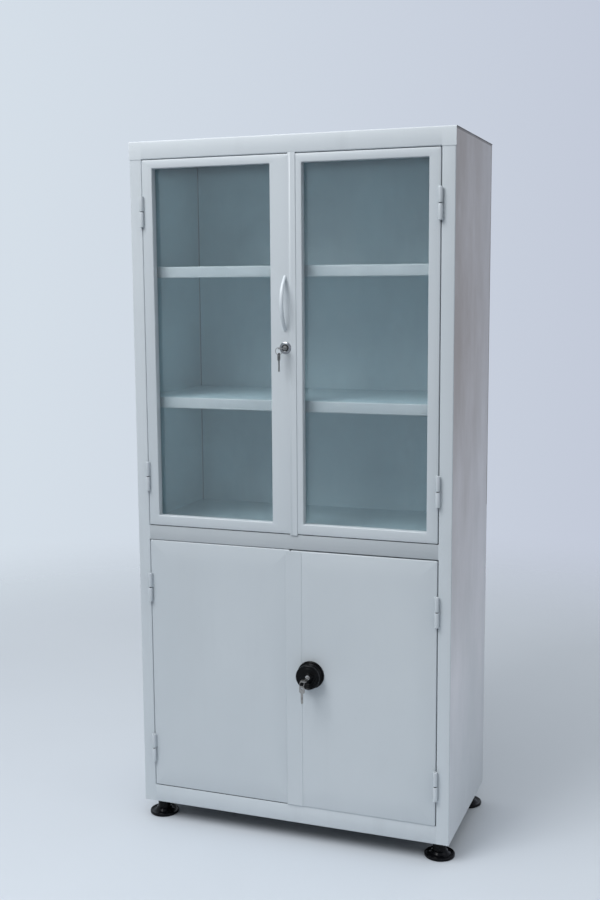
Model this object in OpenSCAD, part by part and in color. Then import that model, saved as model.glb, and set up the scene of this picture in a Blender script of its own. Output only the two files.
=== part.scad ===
// Lockable two-bay medicine cabinet: glazed bay above, sheet-metal bay below.
// Origin on the floor under the middle of the whole object, front towards -Y, +Z up.

/* [Carcass] */
// Width over the side panels
body_w = 900; // [760:10:1100]
// Depth from the uprights' faces to the rear edges
body_d = 450; // [380:10:560]
// Height of the carcass above its underside
body_h = 1866; // [1780:2:1960]
// Thickness of the carcass and door sheet
sheet = 1; // [0.8:0.1:1.2]
// Width of an upright's front face
upright_w = 35; // [32:1:45]
// Depth of the jamb return behind an upright's face
jamb_d = 28; // [26:1:34]
// Width of the side panel's rear lip
rear_lip = 16; // [10:1:30]
// Depth of the back panel behind which its side flanges reach the rear lips
back_inset = 20; // [10:1:40]
// Height of the header face
header_h = 48; // [42:1:60]
// Depth of the header's bottom return
header_return = 42; // [42:1:50]
// How far the cap stands past each side panel
cap_lap = 1; // [0.5:0.5:3]
// Height of the bottom rail face
bottom_rail_h = 50; // [42:1:60]
// Height of the clear lower bay
lower_bay_h = 725; // [640:1:760]
// Height of the middle rail face
mid_rail_h = 40; // [34:1:50]
// Depth of the lip under each rail
rail_lip = 20; // [19:1:26]
// Height of the flanges turned down around a floor sheet
floor_flange = 15; // [10:1:24]
// Gap between slip-in sheet pieces
fit = 0.3; // [0.2:0.1:0.5]

/* [Shelves] */
// Top of the lower glazed-bay shelf above the deck
shelf_mid_rise = 358; // [330:2:380]
// Top of the upper glazed-bay shelf above the deck
shelf_top_rise = 717; // [700:2:760]
// Top of the lower-bay shelf above the bay floor
shelf_low_rise = 362; // [250:2:480]
// Height of a shelf's front lip
shelf_lip = 30; // [24:1:36]
// Height of a shelf's side and rear lips
shelf_edge = 14; // [10:1:20]
// Distance from the upright faces to the shelf front
shelf_setback = 42; // [40:1:60]
// Side gap between shelf and side panel
shelf_side_gap = 1.5; // [1:0.5:3]
// Gap between shelf and back panel
shelf_rear_gap = 4; // [2:1:8]
// Length of each leg of a shelf bracket
bracket_leg = 16; // [12:1:20]
// Length of a shelf bracket along the side panel
bracket_l = 40; // [30:1:50]
// Thickness of a shelf bracket
bracket_t = 1.5; // [1.2:0.1:2]
// Distance of a bracket from the shelf's front or rear edge
bracket_inset = 24; // [16:1:60]

/* [Doors] */
// Thickness of every door leaf
leaf_d = 25; // [24:0.5:26]
// Gap round each leaf
leaf_gap = 3; // [2.5:0.5:4]
// How far the lower locking leaf hangs below its neighbour
leaf_drop = 1.5; // [0:0.5:1.5]
// Setback of a leaf that a cover strip overlaps
lapped_setback = 1; // [0.9:0.1:1.3]
// Meeting line of the glazed leaves, from the middle
upper_meeting_x = 15; // [12:0.5:20]
// Meeting line of the lower leaves, from the middle
lower_meeting_x = 6; // [0:0.5:10]
// Width of the plain door stiles
stile_w = 28; // [26:1:34]
// Width of the stile that carries the cam lock
lock_stile_w = 55; // [52:1:60]
// Width of a glazed door's top rail
top_rail_w = 21; // [21:1:30]
// Width of a glazed door's bottom rail
bottom_rail_w = 26; // [21:1:34]
// Width of a leaf's back flange
back_flange = 14; // [12:1:15]
// Depth of the glass seat behind the leaf's front face
glass_seat = 20; // [16:0.5:20.5]
// Width of the glass seat flange
seat_w = 8; // [7:0.5:9]
// Thickness of the glass
glass_t = 4; // [3:0.5:4]
// How far the glass runs onto its seat
glass_bite = 7; // [5:0.5:7]
// Thickness of the glazing gasket
gasket_t = 1; // [0.8:0.1:1]
// Thickness of the glazing beads
bead_t = 1.2; // [1:0.1:1.5]
// Thickness of the cover strips
strip_t = 2; // [1.5:0.1:2.5]
// Width of the glazed doors' cover strip
upper_strip_w = 21; // [20:1:24]
// How far the glazed doors' cover strip overlaps the other leaf
upper_strip_lap = 12.5; // [8:0.5:13]
// Width of the lower doors' cover strip
lower_strip_w = 46; // [36:1:48]
// How far the lower doors' cover strip overlaps the other leaf
lower_strip_lap = 11; // [6:0.5:12]
// How far the upper cover strip reaches past the leaf's top and bottom
strip_reach = 4.5; // [2:0.5:5]
// Width of a lower door's stiffener
stiffener_w = 50; // [36:1:80]
// Distance of a stiffener's ends from the leaf's edges
stiffener_end = 40; // [24:1:120]

/* [Hinges] */
// Length of a hinge over both knuckles
hinge_l = 82; // [70:1:100]
// Radius of a hinge barrel
barrel_r = 5.8; // [5.5:0.1:7]
// Gap between a hinge's knuckles
knuckle_gap = 0.6; // [0.4:0.1:1]
// Radius of a hinge pin
pin_r = 3; // [2.5:0.1:3.5]
// Radial clearance of a hinge pin
pin_clearance = 0.05; // [0.03:0.01:0.08]
// Length of the wing that welds a knuckle to its sheet
wing_l = 9; // [8:0.5:12]
// Thickness of the knuckle's wing
wing_t = 2.4; // [2.2:0.1:3]
// Distance of a glazed door's hinge centres from its ends
upper_hinge_inset = 136; // [80:2:220]
// Distance of a lower door's top hinge centre from its top edge
lower_hinge_drop = 135; // [80:1:200]
// Distance of a lower door's bottom hinge centre from its bottom edge
lower_hinge_rise = 110; // [80:1:200]

/* [Bow handle] */
// Height of the handle's middle above the glazed leaf's bottom edge
handle_rise = 615; // [540:5:700]
// Distance between the handle's feet
handle_span = 130; // [96:1:160]
// Clearance of the bow's middle from the door
handle_reach = 24; // [20:1:32]
// Radius of the handle's rod
handle_r = 5.25; // [4:0.25:6]
// Distance of the handle and cam lock from the leaf's free edge
lock_edge = 15; // [14.5:0.5:20]

/* [Cam lock] */
// Height of the cam lock above the glazed leaf's bottom edge
cam_rise = 498; // [440:1:510]
// Radius of the cam lock's threaded barrel
cam_barrel_r = 9.5; // [8.5:0.25:9.5]
// Radius of the cam lock's bezel
cam_bezel_r = 16.5; // [14:0.25:17.5]
// Height of the bezel
cam_bezel_h = 4; // [3:0.5:5]
// Radius of both lock plugs
plug_r = 6.5; // [6:0.25:7]
// Length of the tongue past the plug's axis
tongue_l = 33; // [31:1:36]
// Width of the tongue
tongue_w = 15; // [12:1:16]
// Thickness of the tongue
tongue_t = 2.5; // [2:0.1:3]
// Half the width across flats of the barrel nut
nut_flat = 11; // [10.5:0.1:11.4]
// Thickness of the barrel nut
nut_t = 5; // [4:0.5:6]

/* [Knob lock] */
// Height of the knob above the lower leaf's bottom edge
knob_rise = 380; // [300:1:440]
// Distance of the knob from the lower leaf's free edge
knob_edge = 57.5; // [56:0.5:80]
// Radius of the knob
knob_r = 33.5; // [30:0.5:34.5]
// Length of the knob
knob_l = 25; // [24:0.5:30]
// Radius of the fixed rose behind the knob
rose_r = 38; // [36:0.5:42]
// Thickness of the rose
rose_t = 6; // [4:0.5:8]
// Radius of the knob's spindle
spindle_r = 5; // [4:0.25:6]
// Depth to which the spindle is set in the knob
spindle_grip = 6.5; // [5:0.5:7]
// How far the plug's face lies behind the knob's front
plug_recess = 2; // [1.5:0.5:3]
// Radius of the circle on which the cam disc's pins travel
crank_r = 12; // [11:0.5:13]
// Radius of a cam disc pin
crank_pin_r = 2.5; // [2:0.25:3]
// Thickness of the cam disc
cam_disc_t = 3; // [2.5:0.25:3]
// Width of the lock rods
rod_w = 14; // [12:0.5:15]
// Thickness of the lock rods
rod_t = 3; // [2.5:0.1:3]
// Play of a lock rod in its guides and slots
rod_play = 0.5; // [0.4:0.1:0.8]
// Distance of the inner rod guides from the knob
guide_near = 90; // [60:5:140]
// Distance of the outer rod guides from the leaf's ends
guide_far = 50; // [34:1:90]

/* [Bolts] */
// Radius of the bolt rods on the inner glazed leaf
bolt_r = 4; // [3.5:0.25:4.5]
// Throw of a bolt
bolt_throw = 14; // [12:1:18]
// Length of a bolt rod
bolt_l = 110; // [100:5:130]
// Length of a bolt's base plate
bolt_plate_l = 78; // [76:1:84]
// Half the width of a bolt's base plate
bolt_plate_w = 11; // [10.5:0.5:12]
// Distance of the bolts from the leaf's free edge
bolt_edge = 12; // [11.5:0.5:14]

/* [Keys] */
// Radius of a key's bow
bow_r = 11; // [10:0.5:12]
// Width over the flats of a key's bow
bow_w = 17.5; // [16:0.5:18.5]
// Thickness of a key
key_t = 2.2; // [1.8:0.1:2.4]
// Length of a key's blade
key_l = 28; // [26:1:32]
// Width of a key's blade
blade_w = 7; // [6:0.5:8]
// Radius of the hole in a key's bow
bow_hole_r = 3; // [3:0.1:3.5]
// Length of the cam lock key's blade inside its plug
cam_key_in = 16; // [12:1:20]
// Length of the knob key's blade inside its plug
knob_key_in = 12; // [8:1:12]
// Radius of a key ring to its wire's middle
ring_r = 9.5; // [8.5:0.25:10]
// How far a key ring passes outside the flat of a bow
ring_lap = 5; // [3.8:0.1:6]
// Radius of a key ring's wire
wire_r = 0.7; // [0.6:0.05:0.8]
// Direction of the cam lock's key ring from its key
cam_ring_turn = 180; // [170:5:190]
// Direction of the knob's key ring from its key
knob_ring_turn = 250; // [230:5:270]

/* [Levelling feet] */
// Height of the carcass above the floor
foot_h = 54; // [48:1:70]
// Radius of a foot's pad
foot_r = 41.5; // [36:0.5:46]
// Height of the pad's rim
foot_rim_h = 9; // [6:0.5:12]
// Radius of a foot's neck
foot_neck_r = 18; // [16:0.5:20]
// Distance of a foot's axis from the body's side
foot_side = 36; // [36:0.5:40]
// Distance of a foot's axis from the body's front and rear
foot_end = 50; // [50:0.5:60]
// Radius of the foot's threaded stem
stem_r = 6; // [5:0.5:8]
// Size of a foot's corner plate
foot_plate = 62; // [60:1:66]
// Thickness of a foot's corner plate
foot_plate_t = 3; // [2.5:0.5:5]
// Height of a foot's weld nut
foot_nut_h = 10; // [8:0.5:14]

/* [Hidden] */
$fn = 48;

paint = [0.80, 0.84, 0.87];
dark_plastic = [0.05, 0.05, 0.06];
plated = [0.75, 0.76, 0.78];
glass_tint = [0.55, 0.68, 0.72, 0.35];
rubber_grey = [0.25, 0.27, 0.28];
zinc = [0.62, 0.63, 0.62];

// Heights above the floor
base_z = foot_h;
top_z = base_z + body_h;
bay_floor_z = base_z + bottom_rail_h;
mid_rail_z = bay_floor_z + lower_bay_h;
deck_z = mid_rail_z + mid_rail_h;
header_z = top_z - header_h;

// Plan of the carcass, with the uprights' faces at y = 0
half_w = body_w / 2;
wall_x = half_w - sheet;
opening_x = half_w - upright_w;
back_y = body_d - back_inset;

// Door leaves: face plane just proud of the header, edges and heights
leaf_front = -sheet - fit;
leaf_edge_x = opening_x - leaf_gap;
half_gap = leaf_gap / 2;
upper_z = [deck_z + leaf_gap, header_z - leaf_gap];
lower_z = [bay_floor_z + leaf_gap, mid_rail_z - leaf_gap];
locking_z = [lower_z[0] - leaf_drop, lower_z[1] - leaf_drop];
upper_left_x = [-leaf_edge_x, upper_meeting_x - half_gap];
upper_right_x = [upper_meeting_x + half_gap, leaf_edge_x];
lower_left_x = [-leaf_edge_x, lower_meeting_x - half_gap];
lower_right_x = [lower_meeting_x + half_gap, leaf_edge_x];
lapped_front = leaf_front + lapped_setback;

// Hinge axes run in front of the gap between leaf and upright
hinge_x = opening_x - half_gap;
hinge_y = leaf_front - barrel_r - fit;
knuckle_l = (hinge_l - knuckle_gap) / 2;
pin_inset = 4;
upper_hinge_z = [upper_z[0] + upper_hinge_inset, upper_z[1] - upper_hinge_inset];
lower_hinge_z = [lower_z[0] + lower_hinge_rise, lower_z[1] - lower_hinge_drop];

// Cam lock and bow handle on the lock stile
lock_x = upper_left_x[1] - lock_edge;
cam_z = upper_z[0] + cam_rise;
handle_z = upper_z[0] + handle_rise;
bezel_front = leaf_front - cam_bezel_h;
plug_front = bezel_front - 0.5;
leaf_back = leaf_front + leaf_d;
barrel_back = leaf_back + bead_t + lapped_setback;
tongue_y = barrel_back + fit;
plug_clearance = 0.05;
seat_clearance = 0.1;

// Knob lock on the lower right leaf
knob_x = lower_right_x[0] + knob_edge;
knob_z = locking_z[0] + knob_rise;
rose_front = leaf_front - rose_t;
knob_back = rose_front - fit;
knob_front = knob_back - knob_l;
rose_boss_r = spindle_r + 4;
rose_boss_back = leaf_front + sheet + 2;
cam_disc_y = rose_boss_back + 2.5;
cam_disc_r = crank_r + crank_pin_r + 3;
rod_top_y = cam_disc_y + cam_disc_t + 1;
rod_bottom_y = rod_top_y + rod_t + 1;
// A slide that follows the knob at a steady rate leaves its pin by this much in mid-turn
crank_lag = 0.2106 * crank_r;
slot_play = crank_pin_r + rod_play;
eye_wall = 3;
rod_top_end = locking_z[1] - 1;
rod_bottom_end = locking_z[0] + 1;

// Bolts behind the inner stile of the upper right leaf
bolt_x = upper_right_x[0] + bolt_edge;
bolt_plate_t = 1.5;
bolt_plate_y = leaf_back + bead_t + lapped_setback;
bolt_y = bolt_plate_y + bolt_plate_t + bolt_r + fit;
bolt_end_gap = 2;
bolt_strap_l = 12;
bolt_knob_l = 12;
bolt_knob_r = 2.5;
bolt_play = 0.1;
// Room on each side of a bolt or lock rod in the hole that it shoots into
keep_play = 2.5;

// Keys and rings
hole_off = 4;
ring_chord = bow_w / 2 + ring_lap;
ring_drop = sqrt(pow(ring_r, 2) - pow(ring_chord / 2, 2));
cam_bow_y = plug_front + cam_key_in - key_l - bow_r;
knob_plug_front = knob_front + plug_recess;
knob_plug_back = knob_back - spindle_grip - 1;
knob_bow_y = knob_plug_front + knob_key_in - key_l - bow_r;

// The front-most thing is the knob's key ring; the origin is under the middle of the whole depth
front_reach = -(knob_bow_y - hole_off
    + sin(knob_ring_turn) * (ring_chord / 2 + ring_r) - wire_r);
front_y = (front_reach - body_d) / 2;

// Levelling feet
foot_x = half_w - foot_side;
foot_y = [foot_end, body_d - foot_end];
foot_stop_gap = 0.5;
stem_top = base_z + foot_plate_t + foot_nut_h + 12;
stem_clearance = 0.05;

module placed() {
    translate([0, front_y, 0]) children();
}

// A box given by its lowest and highest value along each axis
module block(x, y, z) {
    translate([x[0], y[0], z[0]]) cube([x[1] - x[0], y[1] - y[0], z[1] - z[0]]);
}

// A cylinder along +Y from y[0] to y[1]
module rod_y(x, y, z, r) {
    translate([x, y[0], z]) rotate([-90, 0, 0]) cylinder(r = r, h = y[1] - y[0]);
}

// A box with another taken out of it, both given by x and z spans, over one y span
module ring_y(outer_x, outer_z, inner_x, inner_z, y) {
    difference() {
        block(outer_x, y, outer_z);
        block(inner_x, [y[0] - 1, y[1] + 1], inner_z);
    }
}

function shrink(span, by) = [span[0] + by, span[1] - by];

// ---- Carcass ----

module side_panel(side) {
    mirror([side < 0 ? 1 : 0, 0, 0])
    translate([0, 0, base_z]) linear_extrude(body_h - sheet) {
        translate([wall_x, 0]) square([sheet, body_d]);
        translate([opening_x, 0]) square([upright_w, sheet]);
        translate([opening_x, 0]) square([sheet, jamb_d]);
        translate([half_w - rear_lip, body_d - sheet]) square([rear_lip, sheet]);
    }
}

module side_panel_left() {
    color(paint) placed() side_panel(-1);
}

module side_panel_right() {
    color(paint) placed() side_panel(1);
}

module back_panel() {
    color(paint) placed() translate([0, 0, base_z]) linear_extrude(body_h - sheet) {
        translate([-wall_x, back_y]) square([2 * wall_x, sheet]);
        for (x = [-wall_x, wall_x - sheet])
            translate([x, back_y]) square([sheet, back_inset - sheet]);
    }
}

// Square hole that a bolt shoots into
module bolt_keep(z) {
    keep = bolt_r + keep_play;
    block([bolt_x - keep, bolt_x + keep], [bolt_y - keep, bolt_y + keep], [z - 2, z + 2]);
}

// Cap with its deep header; the header face laps the tops of the uprights
module top_cap() {
    cap_x = half_w + cap_lap;
    return_x = opening_x - fit;
    color(paint) placed() difference() {
        union() {
            block([-cap_x, cap_x], [-sheet, body_d], [top_z - sheet, top_z]);
            block([-cap_x, cap_x], [-sheet, 0], [header_z, top_z]);
            block([-return_x, return_x], [-sheet, header_return], [header_z, header_z + sheet]);
        }
        bolt_keep(header_z + sheet / 2);
    }
}

// Floor sheet with a front rail, a lip under the rail and flanges on the other sides
module tray(z_top, rail_h) {
    rail_x = opening_x - fit;
    behind_y = jamb_d + fit;
    floor_z = [z_top - sheet, z_top];
    flange_z = [z_top - floor_flange, z_top];
    block([-rail_x, rail_x], [0, back_y], floor_z);
    block([-wall_x, wall_x], [behind_y, back_y], floor_z);
    block([-rail_x, rail_x], [0, sheet], [z_top - rail_h, z_top]);
    block([-rail_x, rail_x], [0, rail_lip], [z_top - rail_h, z_top - rail_h + sheet]);
    block([-wall_x, wall_x], [back_y - sheet, back_y], flange_z);
    for (x = [-wall_x, wall_x - sheet])
        block([x, x + sheet], [behind_y, back_y], flange_z);
}

// Slot that a lock rod shoots into
module rod_slot(y, z) {
    slot_x = rod_w / 2 + keep_play;
    block([knob_x - slot_x, knob_x + slot_x], [y - keep_play, y + rod_t + keep_play],
        [z - 2, z + 2]);
}

module middle_deck() {
    color(paint) placed() difference() {
        tray(deck_z, mid_rail_h);
        rod_slot(rod_top_y, mid_rail_z + sheet / 2);
        bolt_keep(deck_z - sheet / 2);
    }
}

module bottom_panel() {
    color(paint) placed() difference() {
        tray(bay_floor_z, bottom_rail_h);
        rod_slot(rod_bottom_y, bay_floor_z - sheet / 2);
    }
}

shelf_x = wall_x - shelf_side_gap;
shelf_y = [shelf_setback, back_y - shelf_rear_gap];
shelf_tops = [deck_z + shelf_top_rise, deck_z + shelf_mid_rise, bay_floor_z + shelf_low_rise];

module shelf(z_top) {
    lip_under = z_top - shelf_lip;
    edge_z = [z_top - shelf_edge, z_top];
    color(paint) placed() {
        block([-shelf_x, shelf_x], shelf_y, [z_top - sheet, z_top]);
        block([-shelf_x, shelf_x], [shelf_y[0], shelf_y[0] + sheet], [lip_under, z_top]);
        block([-shelf_x, shelf_x], [shelf_y[0], shelf_y[0] + shelf_edge],
            [lip_under, lip_under + sheet]);
        block([-shelf_x, shelf_x], [shelf_y[1] - sheet, shelf_y[1]], edge_z);
        for (x = [-shelf_x, shelf_x - sheet])
            block([x, x + sheet], shelf_y, edge_z);
    }
}

module shelf_top() {
    shelf(shelf_tops[0]);
}

module shelf_middle() {
    shelf(shelf_tops[1]);
}

module shelf_low() {
    shelf(shelf_tops[2]);
}

// Angle brackets welded to the side panels, one near each corner of every shelf
module shelf_brackets() {
    front_bracket = shelf_y[0] + bracket_inset;
    rear_bracket = shelf_y[1] - bracket_inset - bracket_l;
    color(paint) placed()
    for (z_top = shelf_tops, y = [front_bracket, rear_bracket], side = [0, 1])
        mirror([side, 0, 0]) {
            seat_z = z_top - shelf_edge;
            leg_y = [y, y + bracket_l];
            block([wall_x - bracket_leg, wall_x], leg_y, [seat_z - bracket_t, seat_z]);
            block([wall_x - bracket_t, wall_x], leg_y, [seat_z - bracket_leg, seat_z]);
        }
}

// ---- Feet ----

// Places its children at the four foot axes
module at_feet() {
    for (x = [-foot_x, foot_x], y = foot_y) translate([x, y, 0]) children();
}

// Corner plates under the floor, from the jamb returns and the back panel inwards
module foot_plates() {
    plate_z = [base_z, base_z + foot_plate_t];
    hole_r = stem_r + 0.5;
    front_at = jamb_d + fit;
    rear_at = back_y - fit;
    color(paint) placed()
    for (side = [0, 1])
        mirror([side, 0, 0]) difference() {
            union() {
                block([wall_x - foot_plate, wall_x], [front_at, front_at + foot_plate], plate_z);
                block([wall_x - foot_plate, wall_x], [rear_at - foot_plate, rear_at], plate_z);
            }
            for (y = foot_y)
                translate([foot_x, y, base_z - 1]) cylinder(r = hole_r, h = foot_plate_t + 2);
        }
}

module foot_nuts() {
    nut_r = stem_r * 1.8;
    color(zinc) placed() at_feet()
    translate([0, 0, base_z + foot_plate_t]) difference() {
        cylinder(r = nut_r, h = foot_nut_h, $fn = 6);
        translate([0, 0, -1]) cylinder(r = stem_r + stem_clearance, h = foot_nut_h + 2);
    }
}

// Wide round pad with a raised rim and a low cone up to its neck, the threaded stem moulded in
module foot(x, y) {
    dish_z = foot_rim_h - 2;
    cone_z = foot_rim_h + 7;
    neck_top = base_z - foot_stop_gap;
    color(dark_plastic) placed() translate([x, y, 0]) {
        rotate_extrude() polygon([
            [0, 0], [foot_r - 2, 0], [foot_r, 2], [foot_r, foot_rim_h - 2],
            [foot_r - 2, foot_rim_h], [foot_r - 5, foot_rim_h], [foot_r - 7, dish_z],
            [foot_r - 11, dish_z + 0.5], [foot_neck_r + 4, cone_z], [foot_neck_r, cone_z + 3],
            [foot_neck_r, neck_top - 1.5], [foot_neck_r - 1.5, neck_top], [0, neck_top]
        ]);
        translate([0, 0, neck_top - 1]) cylinder(r = stem_r, h = stem_top - neck_top + 1);
    }
}

module foot_front_left() {
    foot(-foot_x, foot_y[0]);
}

module foot_front_right() {
    foot(foot_x, foot_y[0]);
}

module foot_rear_left() {
    foot(-foot_x, foot_y[1]);
}

module foot_rear_right() {
    foot(foot_x, foot_y[1]);
}

// ---- Hinges ----

// One knuckle: a bored barrel with a flat wing; dir is the side its wing lies on
module knuckle(x, z, dir, face_y) {
    wing_x = dir < 0 ? [-wing_l, 0] : [0, wing_l];
    translate([x, 0, z]) difference() {
        union() {
            translate([0, hinge_y, 0]) cylinder(r = barrel_r, h = knuckle_l);
            block(wing_x, [face_y - wing_t, face_y], [0, knuckle_l]);
        }
        translate([0, hinge_y, -1]) cylinder(r = pin_r + pin_clearance, h = knuckle_l + 2);
    }
}

// The fixed lower knuckles of all four doors
module hinge_frame_knuckles() {
    color(paint) placed()
    for (side = [-1, 1], z = concat(upper_hinge_z, lower_hinge_z))
        knuckle(side * hinge_x, z - hinge_l / 2, side, 0);
}

module hinge_pins() {
    color(zinc) placed()
    for (side = [-1, 1], z = concat(upper_hinge_z, lower_hinge_z))
        translate([side * hinge_x, hinge_y, z - hinge_l / 2 + pin_inset])
            cylinder(r = pin_r, h = hinge_l - 2 * pin_inset);
}

// A door's own upper knuckles; side -1 is a left-hand door
module leaf_knuckles(side, heights, face_y) {
    color(paint) placed()
    for (z = heights)
        knuckle(side * hinge_x, z + hinge_l / 2 - knuckle_l, -side, face_y);
}

module upper_left_knuckles() {
    leaf_knuckles(-1, upper_hinge_z, leaf_front);
}

module upper_right_knuckles() {
    leaf_knuckles(1, upper_hinge_z, lapped_front);
}

module lower_left_knuckles() {
    leaf_knuckles(-1, lower_hinge_z, lapped_front);
}

module lower_right_knuckles() {
    leaf_knuckles(1, lower_hinge_z, leaf_front);
}

// ---- Glazed doors ----

// Clear opening of a glazed leaf
function opening_of(leaf_x, left_stile, right_stile) =
    [leaf_x[0] + left_stile, leaf_x[1] - right_stile];
upper_left_open = opening_of(upper_left_x, stile_w, lock_stile_w);
upper_right_open = opening_of(upper_right_x, stile_w, stile_w);
open_z = [upper_z[0] + bottom_rail_w, upper_z[1] - top_rail_w];

// Folded frame: front face, edge walls, back flange, reveal and glass seat
module glazed_frame(leaf_x, open_x, flange, front) {
    back = front + leaf_d;
    seat_y = front + glass_seat;
    reveal_x = shrink(open_x, -sheet);
    reveal_z = shrink(open_z, -sheet);
    ring_y(leaf_x, upper_z, open_x, open_z, [front, front + sheet]);
    ring_y(leaf_x, upper_z, shrink(leaf_x, sheet), shrink(upper_z, sheet), [front, back]);
    ring_y(leaf_x, upper_z, [leaf_x[0] + flange[0], leaf_x[1] - flange[1]],
        shrink(upper_z, back_flange), [back - sheet, back]);
    ring_y(reveal_x, reveal_z, open_x, open_z, [front, seat_y]);
    ring_y(shrink(open_x, -seat_w), shrink(open_z, -seat_w), open_x, open_z,
        [seat_y - sheet, seat_y]);
}

module glass_pane(open_x, front) {
    pane_y = front + glass_seat + gasket_t;
    color(glass_tint) placed()
        block(shrink(open_x, -glass_bite), [pane_y, pane_y + glass_t],
            shrink(open_z, -glass_bite));
}

module gasket(open_x, front) {
    color(rubber_grey) placed()
        ring_y(shrink(open_x, -glass_bite), shrink(open_z, -glass_bite), open_x, open_z,
            [front + glass_seat, front + glass_seat + gasket_t]);
}

// Four flat strips behind the glass, from the back flange onto the pane
module beads(leaf_x, open_x, bead_w, front) {
    y = [front + leaf_d, front + leaf_d + bead_t];
    far = 2;
    bead_x = shrink(open_x, -far);
    bead_z = shrink(open_z, -far);
    color(paint) placed() {
        block([bead_x[0] - bead_w[0], bead_x[0]], y, shrink(upper_z, 4));
        block([bead_x[1], bead_x[1] + bead_w[1]], y, shrink(upper_z, 4));
        block([bead_x[0] + fit, bead_x[1] - fit], y, [bead_z[1], upper_z[1] - 4]);
        block([bead_x[0] + fit, bead_x[1] - fit], y, [upper_z[0] + 4, bead_z[0]]);
    }
}

stile_bead_w = stile_w - 6;
lock_bead_w = lock_stile_w - back_flange * 2 - 1;
lock_flange = lock_stile_w - 14;

module upper_left_frame() {
    color(paint) placed() difference() {
        glazed_frame(upper_left_x, upper_left_open, [back_flange, lock_flange], leaf_front);
        // Barrel hole in the face, and the larger one that the nut passes through
        rod_y(lock_x, [leaf_front - 1, sheet], cam_z, cam_barrel_r + seat_clearance);
        rod_y(lock_x, [leaf_back - 3, leaf_back + 1], cam_z, nut_flat / cos(30) + 0.6);
        for (z = handle_feet_z)
            rod_y(lock_x, [leaf_front - 1, sheet], z, screw_r + fit);
    }
}

module upper_left_glass() {
    glass_pane(upper_left_open, leaf_front);
}

module upper_left_gasket() {
    gasket(upper_left_open, leaf_front);
}

module upper_left_beads() {
    beads(upper_left_x, upper_left_open, [stile_bead_w, stile_bead_w], leaf_front);
}

module upper_right_frame() {
    color(paint) placed()
        glazed_frame(upper_right_x, upper_right_open, [back_flange, back_flange], lapped_front);
}

module upper_right_glass() {
    glass_pane(upper_right_open, lapped_front);
}

module upper_right_gasket() {
    gasket(upper_right_open, lapped_front);
}

module upper_right_beads() {
    beads(upper_right_x, upper_right_open, [stile_bead_w, stile_bead_w], lapped_front);
}

// Cover strip welded to the lock stile over the edge of the other leaf, notched round the lock
module upper_cover_strip() {
    strip_end = upper_right_x[0] + upper_strip_lap;
    color(paint) placed() difference() {
        block([strip_end - upper_strip_w, strip_end], [leaf_front - strip_t, leaf_front],
            shrink(upper_z, -strip_reach));
        rod_y(lock_x, [leaf_front - strip_t - 1, leaf_front + 1], cam_z, cam_bezel_r + fit);
    }
}

// ---- Bow handle ----

screw_r = 2;
handle_feet_z = [handle_z - handle_span / 2, handle_z + handle_span / 2];
handle_foot_h = 7;
handle_foot_r = handle_r + 0.5;
handle_foot_y = leaf_front - handle_foot_h;
handle_rise_y = handle_reach + handle_r - handle_foot_h;
arc_r = (pow(handle_span / 2, 2) + pow(handle_rise_y, 2)) / (2 * handle_rise_y);
arc_half = asin(handle_span / 2 / arc_r);

module bow_handle() {
    color(paint) placed() difference() {
        union() {
            translate([lock_x, handle_foot_y - handle_rise_y + arc_r, handle_z])
                rotate([0, 90, 0]) rotate([0, 0, -90 - arc_half])
                    rotate_extrude(angle = 2 * arc_half) translate([arc_r, 0]) circle(r = handle_r);
            for (z = handle_feet_z) {
                rod_y(lock_x, [handle_foot_y, leaf_front], z, handle_foot_r);
                translate([lock_x, handle_foot_y, z]) sphere(r = handle_foot_r);
            }
        }
        for (z = handle_feet_z)
            rod_y(lock_x, [handle_foot_y, leaf_front + 1], z, screw_r + seat_clearance);
    }
}

// Screws from inside the leaf into the handle's feet
module handle_screws() {
    head_h = 3;
    color(zinc) placed()
    for (z = handle_feet_z) {
        rod_y(lock_x, [handle_foot_y + 1, leaf_front + sheet], z, screw_r);
        rod_y(lock_x, [leaf_front + sheet, leaf_front + sheet + head_h], z, screw_r * 2);
    }
}

// ---- Cam lock ----

module cam_barrel() {
    color(plated) placed() difference() {
        union() {
            translate([lock_x, leaf_front, cam_z]) rotate([90, 0, 0])
                rotate_extrude() polygon([
                    [0, 0], [cam_bezel_r, 0], [cam_bezel_r, cam_bezel_h - 2],
                    [cam_bezel_r - 2, cam_bezel_h], [0, cam_bezel_h]
                ]);
            rod_y(lock_x, [leaf_front, barrel_back], cam_z, cam_barrel_r);
        }
        rod_y(lock_x, [bezel_front - 1, barrel_back + 1], cam_z, plug_r + plug_clearance);
        // Shallow ring round the plug
        rod_y(lock_x, [bezel_front - 1, bezel_front + 1.2], cam_z, plug_r + 2);
    }
}

module cam_nut() {
    color(zinc) placed() difference() {
        translate([lock_x, sheet + leaf_front, cam_z]) rotate([-90, 0, 0])
            cylinder(r = nut_flat / cos(30), h = nut_t, $fn = 6);
        rod_y(lock_x, [leaf_front, leaf_front + nut_t + 3], cam_z, cam_barrel_r + seat_clearance);
    }
}

// Keyway cut, turned flat; the key seats in it with clearance
module keyway(x, y, z) {
    block([x - blade_w / 2 - fit, x + blade_w / 2 + fit], y,
        [z - key_t / 2 - fit, z + key_t / 2 + fit]);
}

module cam_plug() {
    color(plated) placed() difference() {
        union() {
            rod_y(lock_x, [plug_front, barrel_back], cam_z, plug_r);
            block([lock_x - 3.5, lock_x + 3.5], [barrel_back, tongue_y + tongue_t],
                [cam_z - 3.5, cam_z + 3.5]);
        }
        keyway(lock_x, [plug_front - 1, plug_front + cam_key_in + 1], cam_z);
        rod_y(lock_x, [tongue_y - 2, tongue_y + tongue_t + 1], cam_z, screw_r + seat_clearance);
    }
}

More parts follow.
